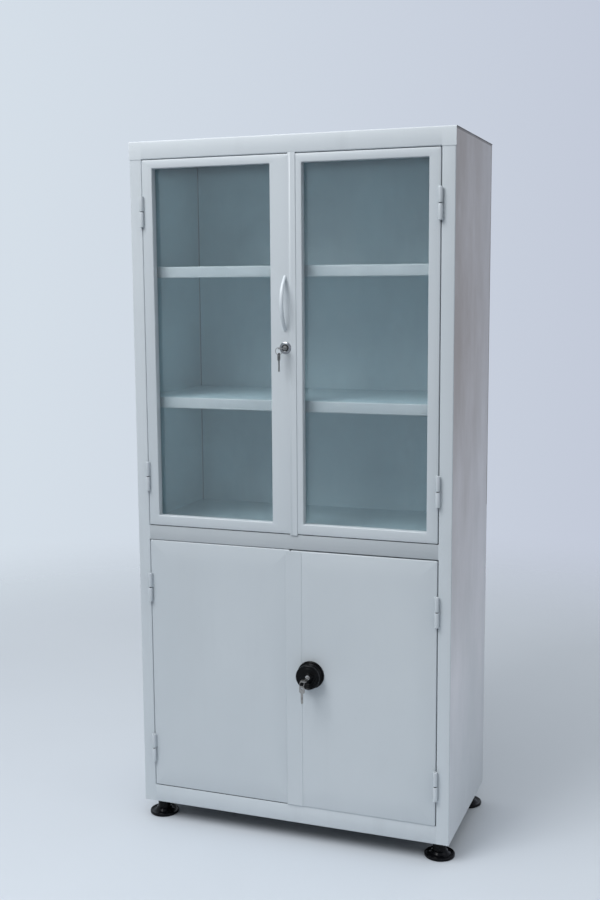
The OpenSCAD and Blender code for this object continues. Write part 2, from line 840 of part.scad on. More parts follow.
// Tongue hangs down at rest and swings behind the other leaf's stile to lock
module cam_tongue() {
    square_r = 3.5 + seat_clearance;
    y = [tongue_y, tongue_y + tongue_t];
    color(zinc) placed() difference() {
        union() {
            block([lock_x - tongue_w / 2, lock_x + tongue_w / 2], y,
                [cam_z - tongue_l + tongue_w / 2, cam_z]);
            rod_y(lock_x, y, cam_z, tongue_w / 2);
            rod_y(lock_x, y, cam_z - tongue_l + tongue_w / 2, tongue_w / 2);
        }
        block([lock_x - square_r, lock_x + square_r], [y[0] - 1, y[1] + 1],
            [cam_z - square_r, cam_z + square_r]);
    }
}

module tongue_screw() {
    head_y = tongue_y + tongue_t;
    color(zinc) placed() {
        rod_y(lock_x, [tongue_y - 1.5, head_y], cam_z, screw_r);
        rod_y(lock_x, [head_y, head_y + 2.5], cam_z, 5.5);
    }
}

// ---- Keys ----

// A flat key along +Y: bow centre at the origin, blade towards +Y, bow hole towards -Y
module key_shape() {
    blade_end = bow_r + key_l;
    thick = [-key_t / 2, key_t / 2];
    difference() {
        union() {
            intersection() {
                translate([0, 0, -key_t / 2]) cylinder(r = bow_r, h = key_t);
                block([-bow_w / 2, bow_w / 2], [-bow_r, bow_r], thick);
            }
            block([-blade_w / 2, blade_w / 2], [0, blade_end - blade_w / 2], thick);
            translate([0, blade_end - blade_w / 2, -key_t / 2])
                cylinder(r = blade_w / 2, h = key_t);
        }
        translate([0, -hole_off, -key_t]) cylinder(r = bow_hole_r, h = 2 * key_t);
        // Bit cuts along one edge of the blade
        for (i = [0 : 2])
            translate([blade_w / 2, bow_r + key_l / 2 + i * key_l / 8, -key_t])
                cylinder(r = 1.3, h = 2 * key_t, $fn = 24);
    }
}

// A wire ring through the bow of a flat key; turn is its direction from the bow hole
module ring_shape(bow_y, x, z, turn) {
    translate([x, bow_y - hole_off, z]) rotate([0, 0, turn])
        translate([ring_chord / 2, 0, -ring_drop]) rotate([90, 0, 0])
            rotate_extrude() translate([ring_r, 0]) circle(r = wire_r, $fn = 24);
}

// A key hung on the lowest point of such a ring, square to it
module hanging_key(bow_y, x, z, turn) {
    hole_drop = bow_hole_r - wire_r - fit;
    wire_z = z - ring_drop - ring_r;
    translate([x, bow_y - hole_off, wire_z]) rotate([0, 0, turn])
        translate([ring_chord / 2, 0, -hole_drop - hole_off])
            rotate([0, 0, 90]) rotate([-90, 0, 0]) key_shape();
}

module cam_key() {
    color(plated) placed() translate([lock_x, cam_bow_y, cam_z]) key_shape();
}

module cam_key_ring() {
    color(plated) placed() ring_shape(cam_bow_y, lock_x, cam_z, cam_ring_turn);
}

module cam_spare_key() {
    color(plated) placed() hanging_key(cam_bow_y, lock_x, cam_z, cam_ring_turn);
}

module knob_key() {
    color(plated) placed() translate([knob_x, knob_bow_y, knob_z]) key_shape();
}

module knob_key_ring() {
    color(plated) placed() ring_shape(knob_bow_y, knob_x, knob_z, knob_ring_turn);
}

module knob_spare_key() {
    color(plated) placed() hanging_key(knob_bow_y, knob_x, knob_z, knob_ring_turn);
}

// ---- Inner leaf bolts ----

// Top and bottom bolt, each given by its rod's tip and the direction it shoots in
bolt_tips = [upper_z[1] - bolt_end_gap, upper_z[0] + bolt_end_gap];
bolt_dirs = [1, -1];
strap_half = bolt_r + bolt_play + 2;

// Lowest and highest z of a piece that lies between two distances back from a bolt's tip
function bolt_span(i, near, far) = bolt_dirs[i] > 0
    ? [bolt_tips[i] - far, bolt_tips[i] - near]
    : [bolt_tips[i] + near, bolt_tips[i] + far];
bolt_knob_at = bolt_plate_l - bolt_strap_l - bolt_knob_r - 2;

module bolt_housings() {
    strap_y = [bolt_plate_y, bolt_y + strap_half];
    color(zinc) placed()
    for (i = [0, 1])
        difference() {
            union() {
                block([bolt_x - bolt_plate_w, bolt_x + bolt_plate_w],
                    [bolt_plate_y, bolt_plate_y + bolt_plate_t], bolt_span(i, 2, 2 + bolt_plate_l));
                for (near = [4, bolt_plate_l - bolt_strap_l])
                    block([bolt_x - strap_half, bolt_x + strap_half], strap_y,
                        bolt_span(i, near, near + bolt_strap_l));
            }
            translate([bolt_x, bolt_y, bolt_span(i, 0, bolt_l)[0]])
                cylinder(r = bolt_r + bolt_play, h = bolt_l);
        }
}

module bolt_rod(i) {
    span = bolt_span(i, 0, bolt_l);
    knob_span = bolt_span(i, bolt_knob_at, bolt_knob_at);
    color(plated) placed() {
        translate([bolt_x, bolt_y, span[0]]) cylinder(r = bolt_r, h = bolt_l);
        rod_y(bolt_x, [bolt_y, bolt_y + bolt_r + bolt_knob_l], knob_span[0], bolt_knob_r);
    }
}

module bolt_rod_top() {
    bolt_rod(0);
}

module bolt_rod_bottom() {
    bolt_rod(1);
}

// ---- Lower doors ----

// Folded pan: face, four edge walls and a back flange
module door_pan(leaf_x, leaf_z, front) {
    back = front + leaf_d;
    block(leaf_x, [front, front + sheet], leaf_z);
    ring_y(leaf_x, leaf_z, shrink(leaf_x, sheet), shrink(leaf_z, sheet), [front, back]);
    ring_y(leaf_x, leaf_z, shrink(leaf_x, back_flange), shrink(leaf_z, back_flange),
        [back - sheet, back]);
}

// Upright channel welded inside a pan's face
module stiffener(leaf_x, leaf_z, front) {
    mid_x = (leaf_x[0] + leaf_x[1]) / 2;
    x = [mid_x - stiffener_w / 2, mid_x + stiffener_w / 2];
    z = shrink(leaf_z, stiffener_end);
    face = front + sheet;
    depth = leaf_d - 3 * sheet;
    foot_w = 10;
    color(paint) placed() {
        for (wall = [x[0], x[1] - sheet])
            block([wall, wall + sheet], [face, face + depth], z);
        block(x, [face + depth - sheet, face + depth], z);
        block([x[0] - foot_w, x[0] + sheet], [face, face + sheet], z);
        block([x[1] - sheet, x[1] + foot_w], [face, face + sheet], z);
    }
}

module lower_left_pan() {
    color(paint) placed() door_pan(lower_left_x, lower_z, lapped_front);
}

module lower_left_stiffener() {
    stiffener(lower_left_x, lower_z, lapped_front);
}

module lower_right_pan() {
    slot_x = rod_w / 2 + rod_play;
    color(paint) placed() difference() {
        door_pan(lower_right_x, locking_z, leaf_front);
        rod_y(knob_x, [leaf_front - 1, 1], knob_z, rose_boss_r + seat_clearance);
        block([knob_x - slot_x, knob_x + slot_x],
            [rod_top_y - rod_play, rod_top_y + rod_t + rod_play],
            [locking_z[1] - sheet - 1, locking_z[1] + 1]);
        block([knob_x - slot_x, knob_x + slot_x],
            [rod_bottom_y - rod_play, rod_bottom_y + rod_t + rod_play],
            [locking_z[0] - 1, locking_z[0] + sheet + 1]);
    }
}

module lower_right_stiffener() {
    stiffener(lower_right_x, locking_z, leaf_front);
}

module lower_cover_strip() {
    strip_start = lower_left_x[1] - lower_strip_lap;
    color(paint) placed()
        block([strip_start, strip_start + lower_strip_w], [leaf_front - strip_t, leaf_front],
            locking_z);
}

// ---- Knob lock ----

// Fixed rose; its boss lines the hole in the door and carries the spindle
module knob_rose() {
    strip_end = lower_left_x[1] - lower_strip_lap + lower_strip_w;
    notch_x = strip_end + fit;
    color(dark_plastic) placed() difference() {
        union() {
            translate([knob_x, leaf_front, knob_z]) rotate([90, 0, 0])
                rotate_extrude() polygon([
                    [0, 0], [rose_r, 0], [rose_r, rose_t - 2.5], [rose_r - 2.5, rose_t],
                    [0, rose_t]
                ]);
            rod_y(knob_x, [leaf_front, rose_boss_back], knob_z, rose_boss_r);
        }
        rod_y(knob_x, [rose_front - 1, rose_boss_back + 1], knob_z, spindle_r + plug_clearance);
        // Rebate where the rose runs over the cover strip
        block([knob_x - rose_r - 1, notch_x], [leaf_front - strip_t - seat_clearance, leaf_front + 1],
            [knob_z - rose_r - 1, knob_z + rose_r + 1]);
    }
}

// Round knob with a dished, stepped face and grip flutes round its waist
module lock_knob() {
    flutes = 24;
    color(dark_plastic) placed() translate([knob_x, knob_back, knob_z]) rotate([90, 0, 0])
    difference() {
        rotate_extrude() polygon([
            [0, 0], [knob_r - 1.5, 0], [knob_r + 1, 2], [knob_r + 1, 5],
            [knob_r - 2, 9], [knob_r - 2, knob_l - 7], [knob_r, knob_l - 4], [knob_r, knob_l - 1.5],
            [knob_r - 1.5, knob_l], [knob_r - 4, knob_l], [knob_r - 5, knob_l - 1.5],
            [knob_r - 11, knob_l - 1.5], [knob_r - 12, knob_l - 2.5],
            [plug_r + 3.5, knob_l - 2.5], [plug_r + 3, knob_l - 1], [0, knob_l - 1]
        ]);
        translate([0, 0, spindle_grip + 1 - seat_clearance])
            cylinder(r = plug_r + plug_clearance, h = knob_l);
        translate([0, 0, -1])
            cylinder(r = spindle_r + seat_clearance, h = spindle_grip + seat_clearance + 1);
        for (i = [0 : flutes - 1])
            rotate([0, 0, i * 360 / flutes]) translate([knob_r - 0.4, 0, 9])
                cylinder(r = 2, h = knob_l - 16, $fn = 16);
    }
}

module knob_plug() {
    color(plated) placed() difference() {
        rod_y(knob_x, [knob_plug_front, knob_plug_back], knob_z, plug_r);
        keyway(knob_x, [knob_plug_front - 1, knob_plug_front + knob_key_in + 1], knob_z);
    }
}

// Spindle, cam disc and two crank pins, turned with the knob
module rod_cam() {
    disc_back = cam_disc_y + cam_disc_t;
    color(zinc) placed() {
        rod_y(knob_x, [knob_back - spindle_grip, cam_disc_y], knob_z, spindle_r);
        rod_y(knob_x, [cam_disc_y, disc_back], knob_z, cam_disc_r);
        rod_y(knob_x + crank_r, [disc_back, rod_top_y + rod_t + 0.4], knob_z, crank_pin_r);
        rod_y(knob_x - crank_r, [disc_back, rod_bottom_y + rod_t + 0.4], knob_z, crank_pin_r);
    }
}

// The rod that shoots upwards, with its slotted eye round the right-hand pin
module upward_rod(y, top) {
    eye_x = [-slot_play - eye_wall, crank_r + slot_play + eye_wall];
    eye_z = [-slot_play - eye_wall, slot_play + crank_lag + eye_wall];
    difference() {
        union() {
            block([-rod_w / 2, rod_w / 2], y, [0, top]);
            block(eye_x, y, eye_z);
        }
        block(shrink(eye_x, eye_wall), [y[0] - 1, y[1] + 1], shrink(eye_z, eye_wall));
    }
}

module lock_rod_top() {
    color(zinc) placed() translate([knob_x, 0, knob_z])
        upward_rod([rod_top_y, rod_top_y + rod_t], rod_top_end - knob_z);
}

// The same rod turned half round about the knob's axis
module lock_rod_bottom() {
    color(zinc) placed() translate([knob_x, 0, knob_z]) rotate([0, 180, 0])
        upward_rod([rod_bottom_y, rod_bottom_y + rod_t], knob_z - rod_bottom_end);
}

// Bridges welded inside the door's face that the rods slide in
module rod_guides() {
    face = leaf_front + sheet;
    half = rod_w / 2 + rod_play;
    guide_h = 10;
    wall = 2;
    top_at = [knob_z + guide_near, locking_z[1] - guide_far];
    bottom_at = [knob_z - guide_near, locking_z[0] + guide_far];
    color(zinc) placed() {
        for (z = top_at) guide(face, rod_top_y, half, wall, [z - guide_h / 2, z + guide_h / 2]);
        for (z = bottom_at) guide(face, rod_bottom_y, half, wall, [z - guide_h / 2, z + guide_h / 2]);
    }
}

module guide(face, rod_y0, half, wall, z) {
    window = [rod_y0 - rod_play, rod_y0 + rod_t + rod_play];
    tall = [z[0] - 1, z[1] + 1];
    translate([knob_x, 0, 0]) difference() {
        block([-half - wall, half + wall], [face, window[1] + wall], z);
        block([-half, half], window, tall);
        block([-half, half], [face + wall, window[0] - wall], tall);
    }
}

side_panel_left();
side_panel_right();
back_panel();
top_cap();
middle_deck();
bottom_panel();
shelf_top();
shelf_middle();
shelf_low();
shelf_brackets();
foot_plates();
foot_nuts();
hinge_frame_knuckles();
hinge_pins();
upper_left_frame();
upper_left_glass();
upper_left_gasket();
upper_left_beads();
upper_left_knuckles();
upper_cover_strip();
bow_handle();
handle_screws();
cam_barrel();
cam_nut();
cam_plug();
cam_tongue();
tongue_screw();
cam_key();
cam_key_ring();
cam_spare_key();
upper_right_frame();
upper_right_glass();
upper_right_gasket();
upper_right_beads();
upper_right_knuckles();
bolt_housings();
bolt_rod_top();
bolt_rod_bottom();
lower_left_pan();
lower_left_stiffener();
lower_left_knuckles();
lower_right_pan();
lower_right_stiffener();
lower_right_knuckles();
lower_cover_strip();
knob_rose();
rod_guides();
lock_knob();
rod_cam();
knob_plug();
knob_key();
knob_key_ring();
knob_spare_key();
lock_rod_top();
lock_rod_bottom();
foot_front_left();
foot_front_right();
foot_rear_left();
foot_rear_right();
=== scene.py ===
import math

import bmesh
import bpy
from mathutils import Matrix, Vector


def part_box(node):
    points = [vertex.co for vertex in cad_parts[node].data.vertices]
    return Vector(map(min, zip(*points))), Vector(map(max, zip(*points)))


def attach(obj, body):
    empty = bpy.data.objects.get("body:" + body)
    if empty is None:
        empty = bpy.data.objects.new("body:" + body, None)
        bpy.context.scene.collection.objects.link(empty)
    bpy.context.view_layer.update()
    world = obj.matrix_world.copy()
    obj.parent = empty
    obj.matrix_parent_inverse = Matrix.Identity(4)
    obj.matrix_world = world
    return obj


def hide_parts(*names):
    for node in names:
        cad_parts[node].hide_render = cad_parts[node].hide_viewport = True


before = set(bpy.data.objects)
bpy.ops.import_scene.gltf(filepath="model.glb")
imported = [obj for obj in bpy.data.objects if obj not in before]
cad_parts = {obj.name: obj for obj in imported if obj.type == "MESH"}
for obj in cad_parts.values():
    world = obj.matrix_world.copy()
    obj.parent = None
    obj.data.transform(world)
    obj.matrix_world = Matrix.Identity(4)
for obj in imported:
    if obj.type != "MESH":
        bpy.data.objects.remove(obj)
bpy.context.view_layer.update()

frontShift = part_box("side_panel_left")[0].y  # the uprights' face, metres
print("frame loaded", len(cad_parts), "nodes")


# Pieces are drawn in millimetres with y = 0 on the face of the uprights
def toFrame(point):
    return Vector((point[0] / 1000, point[1] / 1000 + frontShift, point[2] / 1000))


def placed(name, data):
    obj = bpy.data.objects.new(name, data)
    bpy.context.scene.collection.objects.link(obj)
    return obj


# Links a socket to an input, or writes a value there
def feed(tree, socket, value):
    if isinstance(value, bpy.types.NodeSocket):
        tree.links.new(value, socket)
    else:
        socket.default_value = value


def feedAll(tree, node, **values):
    for name, value in values.items():
        feed(tree, node.inputs[name.replace("_", " ")], value)


def addNode(tree, kind, settings=None, **values):
    node = tree.nodes.new(kind)
    for name, value in (settings or {}).items():
        setattr(node, name, value)
    feedAll(tree, node, **values)
    return node


def outOf(tree, kind, settings=None, **values):
    return addNode(tree, kind, settings, **values).outputs[0]


def mathOf(tree, operation, *values):
    node = addNode(tree, "ShaderNodeMath", {"operation": operation})
    for socket, value in zip(node.inputs, values):
        feed(tree, socket, value)
    return node.outputs[0]


def multiply(tree, first, second):
    return mathOf(tree, "MULTIPLY", first, second)


def axesOf(tree, vector):
    return addNode(tree, "ShaderNodeSeparateXYZ", Vector=vector).outputs


# Noise stretched by a mapping, returned as its value socket
def grainOf(tree, place, stretch, scale, detail=3.0, rough=0.5, shift=(0, 0, 0)):
    spot = outOf(tree, "ShaderNodeMapping", Vector=place, Scale=stretch, Location=shift)
    return outOf(tree, "ShaderNodeTexNoise", Vector=spot, Scale=scale, Detail=detail, Roughness=rough)


def remap(tree, source, fromLow, fromHigh, toLow, toHigh, **settings):
    return outOf(tree, "ShaderNodeMapRange", settings, Value=source, From_Min=fromLow, From_Max=fromHigh,
                 To_Min=toLow, To_Max=toHigh)


# Mixes two colours, each a tone or a socket
def blendTones(tree, factor, low, high):
    node = addNode(tree, "ShaderNodeMix", {"data_type": "RGBA"})
    for index, value in ((0, factor), (6, low), (7, high)):
        feed(tree, node.inputs[index], (*value, 1) if isinstance(value, (tuple, list)) else value)
    return node.outputs[2]


def mixShaders(tree, factor, first, second):
    node = addNode(tree, "ShaderNodeMixShader")
    for socket, value in zip(node.inputs, (factor, first, second)):
        feed(tree, socket, value)
    return node.outputs[0]


def bumpOf(tree, height, distance, **values):
    return outOf(tree, "ShaderNodeBump", Height=height, Strength=1.0, Distance=distance, **values)


def startFinish(name, **values):
    material = bpy.data.materials.new(name)
    material.use_nodes = True
    tree = material.node_tree
    tree.nodes.clear()
    shader = addNode(tree, "ShaderNodeBsdfPrincipled", **values)
    addNode(tree, "ShaderNodeOutputMaterial", Surface=shader.outputs[0])
    place = addNode(tree, "ShaderNodeTexCoord").outputs["Object"]
    return material, tree, shader, place


def showAs(tree, surface):
    out = next(node for node in tree.nodes if node.type == "OUTPUT_MATERIAL")
    feed(tree, out.inputs["Surface"], surface)


# Semi-gloss powder coat: grains are stretch, scale, detail and roughness, and each place that looks different is a
# box in drawn millimetres, across to both sides, deep and high, where None leaves a side open
paintLook = {
    "light": (0.580, 0.628, 0.662), "deep": (0.528, 0.578, 0.615), "wiped": (0.455, 0.492, 0.522),
    "drift": ((1, 1, 0.6), 1.7, 4, 0.55), "streak": ((7, 7, 0.7), 1.5, 5, 0.6),
    "smudge": ((1.6, 1.6, 1), 4.4, 6, 0.68), "sideMottle": ((3.4, 3.4, 1.2), 2.2, 5, 0.6),
    "sheen": ((1, 1, 1), 7.5, 4, 0.6), "rare": ((1, 1, 1), 23, 1), "speckScale": 46.0,
    "speck": (0.27, 0.27, 0.26), "waves": ((1, 1, 0.7), 3.0, 1, 0.4), "waveDepth": 0.0012,
    "peel": ((1, 1, 1), 820, 1), "peelDepth": 0.00005,
    # inner with shade: painted shade, darker teal on the walls, shelves and back inside the bays
    "inner": ((None, 449.4), (46, 430.5), (868, 1918)), "shade": (0.405, 0.540, 0.595),
    # gap is a painted shade tone; joint lays it as a dark band down the inside back corners
    "joint": ((444.8, 449.0), (427.5, 449), (868, 1918)), "gap": (0.050, 0.062, 0.066),
    # sandedAndSideShade: a warm sanded look and painted shade on the outer sides
    "outer": ((449.4, None), (3, None), (None, None)), "sandedAndSideShade": (0.452, 0.412, 0.402),
    # paintedSideLight: painted light, a lighter tone over the outer sides
    "paintedSideLight": (0.820, 0.820, 0.875), "rear": ((449.4, None), (436, None), (900, None)),
    # rim with wearAndEdgeShade: painted shade along the top of the outer sides, under the cap's edge; rear makes the
    # sides darker near their rear edges
    "rim": ((449.4, None), (2, None), (1913.5, None)), "wearAndEdgeShade": (0.200, 0.180, 0.170),
    # sillShades: painted shade, the gap tone on the tops of the rails and doors inside the gaps below the doors
    "sillShades": (((None, 412.6), (0.9, 26), (103.7, 107.4)), ((None, 412.6), (0.9, 26), (868.7, 872.4)),
              ((None, 412.6), (0.4, 25), (823.4, 824.8))),
    # under with paintedUnderShade: painted shade, dark grey on the faces under the bottom rail
    "under": ((None, 448.6), (1.2, 448), (50, 103.2)), "paintedUnderShade": (0.190, 0.200, 0.210),
    # crown with dustAndPaintedLight: grey dust on the top face, darkened further as painted shade that dims the
    # brightly lit top; dustRough only roughens it
    "crown": ((None, None), (3, None), (1919.4, None)), "dustAndPaintedLight": (0.400, 0.415, 0.425), "dustRough": 0.45}


# One inside the box of the given limits, zero outside
def boxMask(tree, place, limits):
    axes = axesOf(tree, place)
    mask = None
    for value, span, shift in zip((mathOf(tree, "ABSOLUTE", axes["X"]), axes["Y"], axes["Z"]), limits,
                                  (0, frontShift, 0)):
        for limit, operation in zip(span, ("GREATER_THAN", "LESS_THAN")):
            if limit is not None:
                step = mathOf(tree, operation, value, limit / 1000 + shift)
                mask = step if mask is None else multiply(tree, mask, step)
    return mask


def paintFinish(name, wipe, wave, shift, level=1.0, coat=0.10):
    look = paintLook
    light, deep = ([v * level for v in look[key]] for key in ("light", "deep"))
    material, tree, shader, place = startFinish(name, Metallic=0.0, Coat_Weight=coat,
                                                Coat_Roughness=0.22, IOR=1.5)
    drift, streak, smudge, sideMottle, waves = (grainOf(tree, place, *look[key], shift)
                                         for key in ("drift", "streak", "smudge", "sideMottle", "waves"))
    sheen, rare, peel = (grainOf(tree, place, *look[key]) for key in ("sheen", "rare", "peel"))
    inner, joint, under, crown, outer, rear, rim = (
        boxMask(tree, place, look[key]) for key in ("inner", "joint", "under", "crown", "outer", "rear", "rim"))
    axes = axesOf(tree, place)
    # low spreads the painted side light, weaker near the floor; high spreads the sanded look with painted shade,
    # strongest high up and towards the front
    low = multiply(tree, outer, remap(tree, axes["Z"], 0.10, 0.50, 0.25, 1))
    high = multiply(tree, outer, remap(tree, axes["Z"], 0.45, 1.35, 0, 1))
    high = multiply(tree, high, remap(tree, axes["Y"], frontShift + 0.18, frontShift + 0.45, 1, 0.50))
    # painted shade along the sides' top, darker near their rear edges
    edges = mathOf(tree, "ADD", multiply(tree, rear, remap(tree, sideMottle, 0.35, 0.6, 0.25, 0.75)),
                   multiply(tree, rim, remap(tree, sideMottle, 0.3, 0.6, 0.75, 1)))
    speck = addNode(tree, "ShaderNodeTexVoronoi", {"feature": "F1"}, Vector=place, Scale=look["speckScale"])
    dot = remap(tree, speck.outputs["Distance"], 0.030, 0.050, 0.5, 0)
    colour = blendTones(tree, remap(tree, drift, 0.32, 0.68, 0, 1), deep, light)
    for mask, tone in ((remap(tree, streak, 0.56, 0.78, 0, wipe), "wiped"),
                       (remap(tree, smudge, 0.58, 0.74, 0, wipe * 0.5), "wiped"),
                       # painted shade inside the bays
                       (multiply(tree, inner, remap(tree, drift, 0.2, 0.8, 0.85, 1)), "shade"),
                       # painted shade in the inside back corners
                       (multiply(tree, joint, remap(tree, drift, 0.3, 0.7, 0.7, 1)), "gap"),
                       # painted shade in the gaps under the doors
                       *((boxMask(tree, place, sillShade), "gap") for sillShade in look["sillShades"]),
                       # painted shade under the cabinet, and dust with painted shade on the top
                       (under, "paintedUnderShade"), (crown, "dustAndPaintedLight"),
                       # painted light on the outer sides, mottled by sideMottle
                       (multiply(tree, low, remap(tree, sideMottle, 0.30, 0.66, 1, 0.55)), "paintedSideLight"),
                       # sanded look and painted shade on the outer sides, high up and towards the front
                       (multiply(tree, high, remap(tree, sideMottle, 0.30, 0.62, 0.55, 1)), "sandedAndSideShade"),
                       # edges: painted shade at the sides' top and darker rear edges; real specks
                       (edges, "wearAndEdgeShade"), (multiply(tree, dot, remap(tree, rare, 0.62, 0.66, 0, 1)), "speck")):
        colour = blendTones(tree, mask, colour, look[tone])
    rough = mathOf(tree, "ADD", remap(tree, sheen, 0.3, 0.7, 0.34, 0.44), remap(tree, smudge, 0.5, 0.75, 0, 0.08))
    rough = mathOf(tree, "ADD", rough, remap(tree, crown, 0, 1, 0, look["dustRough"]))
    sheet = bumpOf(tree, waves, look["waveDepth"] * wave)
    feedAll(tree, shader, Base_Color=colour, Roughness=rough,
            Normal=bumpOf(tree, peel, look["peelDepth"], Normal=sheet))
    return material


# Clear float glass that lets lamps through, with a faint teal cast, wiped smears, and a teal dust haze that is also
# painted reflection
glassLook = {"clean": (0.832, 0.835, 0.828), "smeared": (0.808, 0.812, 0.804), "hazeReflection": (0.29, 0.45, 0.51, 1),
             "filmLow": 0.055, "filmHigh": 0.115, "shadow": (0.845, 0.882, 0.888, 1), "ripple": 0.00025,
             "smear": ((1.6, 1.6, 0.7), 5.2, 6, 0.62), "wave": ((1, 1, 1), 6.0, 0)}


def glassFinish(name):
    look = glassLook
    material, tree, shader, place = startFinish(name, Transmission_Weight=1.0, IOR=1.52,
                                                Specular_IOR_Level=0.5)
    smear = grainOf(tree, place, *look["smear"])
    tone = blendTones(tree, remap(tree, smear, 0.35, 0.7, 0, 1), look["clean"], look["smeared"])
    feedAll(tree, shader, Base_Color=tone, Roughness=remap(tree, smear, 0.45, 0.8, 0.0, 0.05),
            Normal=bumpOf(tree, grainOf(tree, place, *look["wave"]), look["ripple"]))
    # dust haze and painted reflection in teal
    hazeReflection = outOf(tree, "ShaderNodeBsdfDiffuse", Color=look["hazeReflection"])
    dustAndPaintedLight = mixShaders(tree, remap(tree, smear, 0.30, 0.75, look["filmLow"], look["filmHigh"]),
                       shader.outputs[0], hazeReflection)
    clear = outOf(tree, "ShaderNodeBsdfTransparent", Color=look["shadow"])
    ray = addNode(tree, "ShaderNodeLightPath").outputs["Is Shadow Ray"]
    showAs(tree, mixShaders(tree, ray, dustAndPaintedLight, clear))
    return material


# Brushed or plated metal with stains
metalLook = {"patch": ((1, 1, 1), 60, 4, 0.6), "stains": ((1, 1, 1), 210, 3, 0.7), "stain": (0.24, 0.21, 0.17)}


def metalFinish(name, light, deep, smooth, dull, brush, brushScale, brushDepth, stained):
    look = metalLook
    material, tree, shader, place = startFinish(name, Metallic=1.0)
    patch = grainOf(tree, place, *look["patch"])
    colour = blendTones(tree, remap(tree, patch, 0.3, 0.7, 0, 1), deep, light)
    stain = remap(tree, grainOf(tree, place, *look["stains"]), 0.62, 0.78, 0, stained)
    line = grainOf(tree, place, brush, brushScale, 3, 0.6)
    feedAll(tree, shader, Base_Color=blendTones(tree, stain, colour, look["stain"]),
            Roughness=remap(tree, line, 0.3, 0.7, smooth, dull), Normal=bumpOf(tree, line, brushDepth))
    return material


# Moulded plastic with handling marks and dust that settles on it
plasticLook = {"patch": ((1, 1, 1), 34, 5, 0.6), "fluff": ((1, 1, 1), 140, 4, 0.7), "scuff": ((1, 1, 1), 90, 6, 0.7),
               "dust": (0.33, 0.33, 0.34), "grainDepth": 0.00004}


def plasticFinish(name, tone, wearAndEdgeShade, smooth, dull, grain, dust, gloss=0.5):
    look = plasticLook
    material, tree, shader, place = startFinish(name, Metallic=0.0, IOR=1.49, Specular_IOR_Level=gloss)
    patch = grainOf(tree, place, *look["patch"])
    colour = blendTones(tree, remap(tree, patch, 0.35, 0.75, 0, 1), tone, wearAndEdgeShade)
    facing = addNode(tree, "ShaderNodeNewGeometry").outputs["Normal"]
    fluff = remap(tree, grainOf(tree, place, *look["fluff"]), 0.42, 0.66, 0.25, 1)
    fluff = multiply(tree, remap(tree, axesOf(tree, facing)["Z"], 0.2, 0.95, 0, dust), fluff)
    scuff = remap(tree, grainOf(tree, place, *look["scuff"]), 0.35, 0.7, smooth, dull)
    feedAll(tree, shader, Base_Color=blendTones(tree, fluff, colour, look["dust"]),
            Roughness=mathOf(tree, "ADD", scuff, fluff),
            Normal=bumpOf(tree, grainOf(tree, place, (1, 1, 1), grain, 2), look["grainDepth"]))
    return material


finishes = {
    "carcass_paint": paintFinish("carcassPaint", 0.42, 1.0, (0, 0, 0)),
    # door paint is the carcass paint at 0.97, a slight painted shade
    "door_paint": paintFinish("doorPaint", 0.16, 0.8, (3.7, 1.9, 5.1), 0.97),
    # the same paint at 1.14 as painted light on the bow handle
    "lit_handle_paint": paintFinish("litHandlePaint", 0.10, 0.4, (1.1, 6.3, 2.2), 1.14, 0.5),
    # the same paint at 0.79 as painted shade on the middle deck between the door pairs
    "shaded_rail_paint": paintFinish("shadedRailPaint", 0.40, 1.0, (5.2, 2.7, 8.8), 0.79),
    # the same paint at 0.86 as painted shade on the shelves
    "shaded_shelf_paint": paintFinish("shadedShelfPaint", 0.30, 0.6, (2.2, 7.7, 0.8), 0.86),
    # near white on the welds atop the hinges, a painted highlight
    "weld_painted_highlight": plasticFinish("weldPaintedHighlight", (0.80, 0.83, 0.85), (0.66, 0.69, 0.70), 0.16, 0.34, 900, 0.1),
    "window_glass": glassFinish("paneGlass"),
    "zinc_steel": metalFinish("zincPlate", (0.60, 0.60, 0.58), (0.47, 0.48, 0.47), 0.30, 0.46,
                              (1, 1, 1), 160, 0.00003, 0.25),
    # nearly black as painted shade, so the split between hinge knuckles reads dark
    "pin_shade_steel": metalFinish("pinShadeSteel", (0.050, 0.050, 0.050), (0.028, 0.028, 0.028), 0.40, 0.60,
                              (1, 1, 5), 260, 0.00002, 0.30),
    # chrome darkened as painted shade in its reflection, standing in for darker surroundings
    "lock_chrome": metalFinish("shadedLockChrome", (0.33, 0.34, 0.35), (0.22, 0.23, 0.24), 0.10, 0.22,
                               (1, 1, 1), 240, 0.00001, 0.18),
    "plug_chrome": metalFinish("plugChrome", (0.60, 0.60, 0.60), (0.46, 0.46, 0.46), 0.14, 0.28,
                               (1, 1, 1), 240, 0.00001, 0.10),
    # one nickel in two copies: painted light on the knob's keys, painted shade on the cam lock's keys and plug
    "lit_key_steel": metalFinish("litKeyNickel", (0.38, 0.37, 0.355), (0.25, 0.24, 0.23), 0.26, 0.42,
                              (1, 1, 6), 420, 0.00002, 0.20),
    "key_steel": metalFinish("shadedKeyNickel", (0.27, 0.27, 0.265), (0.165, 0.165, 0.16), 0.26, 0.44,
                             (1, 1, 6), 420, 0.00002, 0.30),
    "gasket_rubber": plasticFinish("gasketRubber", (0.030, 0.033, 0.035), (0.050, 0.054, 0.056),
                                   0.62, 0.80, 600, 0.20, 0.3),
    "black_plastic": plasticFinish("knobPlastic", (0.0015, 0.0017, 0.0022), (0.0032, 0.0035, 0.0042),
                                   0.12, 0.24, 700, 0.01, 0.12),
    "foot_plastic": plasticFinish("footPlastic", (0.0022, 0.0025, 0.0034), (0.0042, 0.0046, 0.0060),
                                  0.10, 0.22, 500, 0.01, 0.13),
}
print("finishes made", len(finishes))


